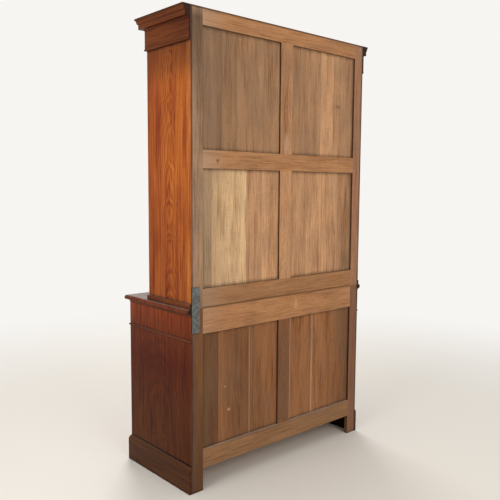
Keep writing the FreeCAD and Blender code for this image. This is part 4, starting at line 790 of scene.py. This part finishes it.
for side in ("right", "left"):
    dress(f"drawer_{side}_front", (drawer_wood, None))
    dress(f"drawer_{side}_box", (drawer_oak, None))
    dress(f"drawer_{side}_knobs", (turned_wood, None))
    for stage in ("upper", "lower"):
        door = f"{stage}_door_{side}"
        dress(f"{door}_frame", (rail_wood, rail_test(f"{door}_mouldings")), (stile_wood, None))
        dress(f"{door}_mouldings", (stile_wood, None))
        dress(f"{door}_fittings", (brass, None))
    dress(f"upper_door_{side}_glass", (glass, None))
    dress(f"lower_door_{side}_panel", (panel_wood, None))
dress("carcass_hinge_leaves", (brass, None))
for stage in ("upper", "lower"):
    dress(f"{stage}_lock_bolt", (steel, None))
    dress(f"{stage}_key", (steel, None))
    dress(f"{stage}_slide_bolt", (brass, None))
dress("joining_plate", (painted_steel(), None))
dress("plate_screws", (steel, None))


# Screws
# A head's height, and its slot's length, width and depth, as shares of its radius
HEAD_RISE, SLOT_LENGTH, SLOT_WIDTH, SLOT_DEPTH = 0.3, 3, 0.28, 0.18
# The share of the height that is rounded, and the steepest edge that is shaded smooth
HEAD_ROUNDING, SMOOTH_ANGLE = 0.9, math.radians(35)
# Radius of a head and how far it stands out, in millimetres
SCREW_HEADS = {"plate": (4.5, 1.1), "hinge": (2.8, 0.25), "lock": (2.6, 0.5), "slide": (1.9, 0.4)}
# Turn of the first slot, and from each slot to the next
FIRST_TURN, NEXT_TURN = math.radians(35), math.radians(64)


def slotted_head(radius):
    """A screw head that lies in the XY plane: a low dome with a slot sunk across it."""
    height = HEAD_RISE * radius
    bpy.ops.object.select_all(action="DESELECT")
    bpy.ops.mesh.primitive_cylinder_add(vertices=24, radius=radius, depth=2 * height)
    head = bpy.context.active_object
    rounding = head.modifiers.new("rounding", "BEVEL")
    rounding.width = HEAD_ROUNDING * height
    rounding.segments = 3
    rounding.limit_method = "ANGLE"
    bpy.ops.mesh.primitive_cube_add(size=1, location=(0, 0, height),
                                    scale=(SLOT_LENGTH * radius, SLOT_WIDTH * radius,
                                           2 * SLOT_DEPTH * radius))
    slot = bpy.context.active_object
    sinking = head.modifiers.new("sinking", "BOOLEAN")
    sinking.object = slot
    bpy.context.view_layer.objects.active = head
    for modifier in list(head.modifiers):
        bpy.ops.object.modifier_apply(modifier=modifier.name)
    bpy.data.objects.remove(slot)
    return head


def screws(name, body, kind, places, outward, material):
    """Copies of one screw head, driven at several places and joined into one piece."""
    radius, proud = (size * MM for size in SCREW_HEADS[kind])
    head = slotted_head(radius)
    rise = proud - HEAD_RISE * radius
    upright = Vector(outward).to_track_quat("Z", "Y").to_matrix()
    copies = []
    for index, place in enumerate(places):
        copy = head.copy()
        copy.data = head.data.copy()
        bpy.context.scene.collection.objects.link(copy)
        turn = upright @ Matrix.Rotation(FIRST_TURN + NEXT_TURN * index, 3, "Z")
        copy.matrix_world = (Matrix.Translation(Vector(place) + rise * Vector(outward))
                             @ turn.to_4x4())
        copies.append(copy)
    bpy.data.objects.remove(head)
    bpy.ops.object.select_all(action="DESELECT")
    for copy in copies:
        copy.select_set(True)
    bpy.context.view_layer.objects.active = copies[0]
    bpy.ops.object.join()
    bpy.ops.object.transform_apply(location=True, rotation=True, scale=True)
    bpy.ops.object.shade_smooth_by_angle(angle=SMOOTH_ANGLE)
    piece = bpy.context.active_object
    piece.name = name
    piece.data.materials.clear()
    piece.data.materials.append(material)
    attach(piece, body)
    return piece


# Joining plate: two screws above the waist and two below it
PLATE_SCREW_RISES = (-54 * MM, -20 * MM, 20 * MM, 54 * MM)
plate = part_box("joining_plate")
plate_x = (plate[0].x + plate[1].x) / 2
plate_screws = screws("plate_screw_heads", "carcass", "plate",
                      [(plate_x, plate[1].y, waist_z + rise) for rise in PLATE_SCREW_RISES],
                      (0, 1, 0), steel)
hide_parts("plate_screws")

# Hinges: the outer ones' distance from the door's ends, how many a door has, the gap beside the
# door, and the three screws of each leaf from the door's front and the hinge's middle
HINGE_INSET = 150 * MM
HINGE_COUNTS = {"upper": 3, "lower": 2}
DOOR_GAP = 1.5 * MM
LEAF_SCREWS = ((11.5 * MM, -27 * MM), (7 * MM, 0), (11.5 * MM, 27 * MM))
# Locks: the case's depth, its edge from the cupboard's middle, and its screws from that edge and
# the key
CASE_THICK = 11 * MM
CASE_X = 1.25 * MM
CASE_SCREWS = ((6 * MM, -15 * MM), (6 * MM, 21 * MM), (50 * MM, -15 * MM), (50 * MM, 21 * MM))
# Slide bolts: the plate's thickness, its top below the door's, and its screws from the rod and
# the plate's top
SLIDE_PLATE_THICK = 1.5 * MM
SLIDE_PLATE_DROP = 14 * MM
SLIDE_SCREWS = ((-6.4 * MM, 24 * MM), (-6.4 * MM, 72 * MM), (6.4 * MM, 24 * MM),
                (6.4 * MM, 72 * MM))

for stage, front_y in (("upper", upper_front_y), ("lower", lower_front_y)):
    low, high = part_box(f"{stage}_door_right_frame")
    count = HINGE_COUNTS[stage]
    span = high.z - low.z - 2 * HINGE_INSET
    middles = [low.z + HINGE_INSET + span * index / (count - 1) for index in range(count)]
    spots = [(front_y + inward, middle + rise) for middle in middles
             for inward, rise in LEAF_SCREWS]
    for side, sign in (("right", 1), ("left", -1)):
        for leaf, body, leaf_x, outward in (
                ("carcass", "carcass", inner_x, -sign),
                ("door", f"{stage}_door_{side}", inner_x - DOOR_GAP, sign)):
            screws(f"{stage}_{side}_{leaf}_hinge_screws", body, "hinge",
                   [(sign * leaf_x, y, z) for y, z in spots], (outward, 0, 0), brass)
    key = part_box(f"{stage}_key")
    key_z = (key[0].z + key[1].z) / 2
    screws(f"{stage}_lock_screws", f"{stage}_door_right", "lock",
           [(CASE_X + across, high.y + CASE_THICK, key_z + up) for across, up in CASE_SCREWS],
           (0, 1, 0), brass)
    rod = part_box(f"{stage}_slide_bolt")
    rod_x = (rod[0].x + rod[1].x) / 2
    plate_top = high.z - SLIDE_PLATE_DROP
    screws(f"{stage}_slide_screws", f"{stage}_door_left", "slide",
           [(rod_x + across, high.y + SLIDE_PLATE_THICK, plate_top - down)
            for across, down in SLIDE_SCREWS], (0, 1, 0), brass)


# Studio
# Each lamp's name, place, width and power in watts. The front one hangs high, so that the panes
# don't mirror it at eye height.
LAMPS = (("side_window", (4.2, 0.6, 2.4), 2.6, 95),
         ("rear_fill", (0.6, 4.6, 2.6), 2.6, 95),
         ("front_fill", (-2.4, -4.2, 4.3), 2.8, 165))
LAMP_TARGET = Vector((0, 0, 1.1))
# The white of the room, the strength of its light from all round, the floor's width, and where
# the floor starts and ends to fade into the white
ROOM_WHITE = "F7F5F2"
ROOM_LIGHT = 0.60
FLOOR_WIDTH = 24
FADE_START, FADE_END = 1.4, 4.5


def seen_rays(tree):
    """1 for rays that show the white room: from the camera, mirrored, or through glass."""
    path = add(tree, "LightPath")
    seen = add(tree, "Math", {0: path.outputs["Is Camera Ray"], 1: path.outputs["Is Glossy Ray"]},
               operation="MAXIMUM")
    return add(tree, "Math", {0: seen.outputs[0], 1: path.outputs["Is Transmission Ray"]},
               operation="MAXIMUM").outputs[0]


def pale_floor():
    """A matt pale floor, poured and left plain. Far from the cupboard it fades into the room."""
    bpy.ops.object.select_all(action="DESELECT")
    bpy.ops.mesh.primitive_plane_add(size=FLOOR_WIDTH, location=(0, 0, 0))
    floor = bpy.context.active_object
    floor.name = "floor"
    material, tree, shader = new_material("pale_floor")
    shader.inputs["Base Color"].default_value = linear("DAD4CA")
    shader.inputs["Roughness"].default_value = 0.6
    reach = add(tree, "VectorMath", {0: add(tree, "TexCoord").outputs["Object"]},
                operation="LENGTH")
    fade = add(tree, "MapRange", {"Value": reach.outputs["Value"], "From Min": FADE_START,
                                  "From Max": FADE_END}, interpolation_type="SMOOTHSTEP")
    amount = add(tree, "Math", {0: fade.outputs["Result"], 1: seen_rays(tree)},
                 operation="MULTIPLY")
    white = add(tree, "Emission", {"Color": linear(ROOM_WHITE), "Strength": 1.0})
    mixed = add(tree, "MixShader", {0: amount.outputs[0], 1: shader.outputs[0],
                                    2: white.outputs[0]})
    tree.links.new(mixed.outputs[0], tree.nodes["Material Output"].inputs["Surface"])
    floor.data.materials.append(material)


def white_room():
    """Soft light from all round, and a white backdrop."""
    world = bpy.data.worlds.new("studio")
    world.use_nodes = True
    bpy.context.scene.world = world
    tree = world.node_tree
    tree.nodes.clear()
    room = add(tree, "Background", {"Color": linear("FFFFFF"), "Strength": ROOM_LIGHT})
    backdrop = add(tree, "Background", {"Color": linear(ROOM_WHITE), "Strength": 1.0})
    mixed = add(tree, "MixShader", {0: seen_rays(tree), 1: room.outputs[0],
                                    2: backdrop.outputs[0]})
    out = add(tree, "OutputWorld", {"Surface": mixed.outputs[0]})
    out.is_active_output = True


def soft_lamps():
    """Wide lamps that the camera doesn't see."""
    for name, place, width, power in LAMPS:
        lamp = bpy.data.lights.new(name, "AREA")
        lamp.energy = power
        lamp.size = width
        thing = bpy.data.objects.new(name, lamp)
        bpy.context.scene.collection.objects.link(thing)
        thing.location = place
        towards = LAMP_TARGET - Vector(place)
        thing.rotation_euler = towards.to_track_quat("-Z", "Y").to_euler()
        thing.visible_camera = False


def photograph_camera():
    """The camera at the photograph's place, solved from the cupboard's edges."""
    yaw, pitch, roll = math.radians(41.818), math.radians(-5.628), math.radians(0.363)
    place = Vector((2.4037, 2.6974, 1.5108))
    focal_pixels, image_pixels, sensor = 627.59, 500, 36
    forward = Vector((-math.sin(yaw) * math.cos(pitch), -math.cos(yaw) * math.cos(pitch),
                      math.sin(pitch)))
    level = Vector((-math.cos(yaw), math.sin(yaw), 0))
    upright = level.cross(forward)
    right = math.cos(roll) * level + math.sin(roll) * upright
    up = -math.sin(roll) * level + math.cos(roll) * upright
    data = bpy.data.cameras.new("photograph")
    data.sensor_width = sensor
    data.lens = focal_pixels / image_pixels * sensor
    camera = bpy.data.objects.new("photograph", data)
    bpy.context.scene.collection.objects.link(camera)
    turn = Matrix((right, up, -forward)).transposed().to_4x4()
    camera.matrix_world = Matrix.Translation(place) @ turn
    bpy.context.scene.camera = camera


pale_floor()
white_room()
soft_lamps()
photograph_camera()
bpy.context.scene.view_settings.view_transform = "Standard"
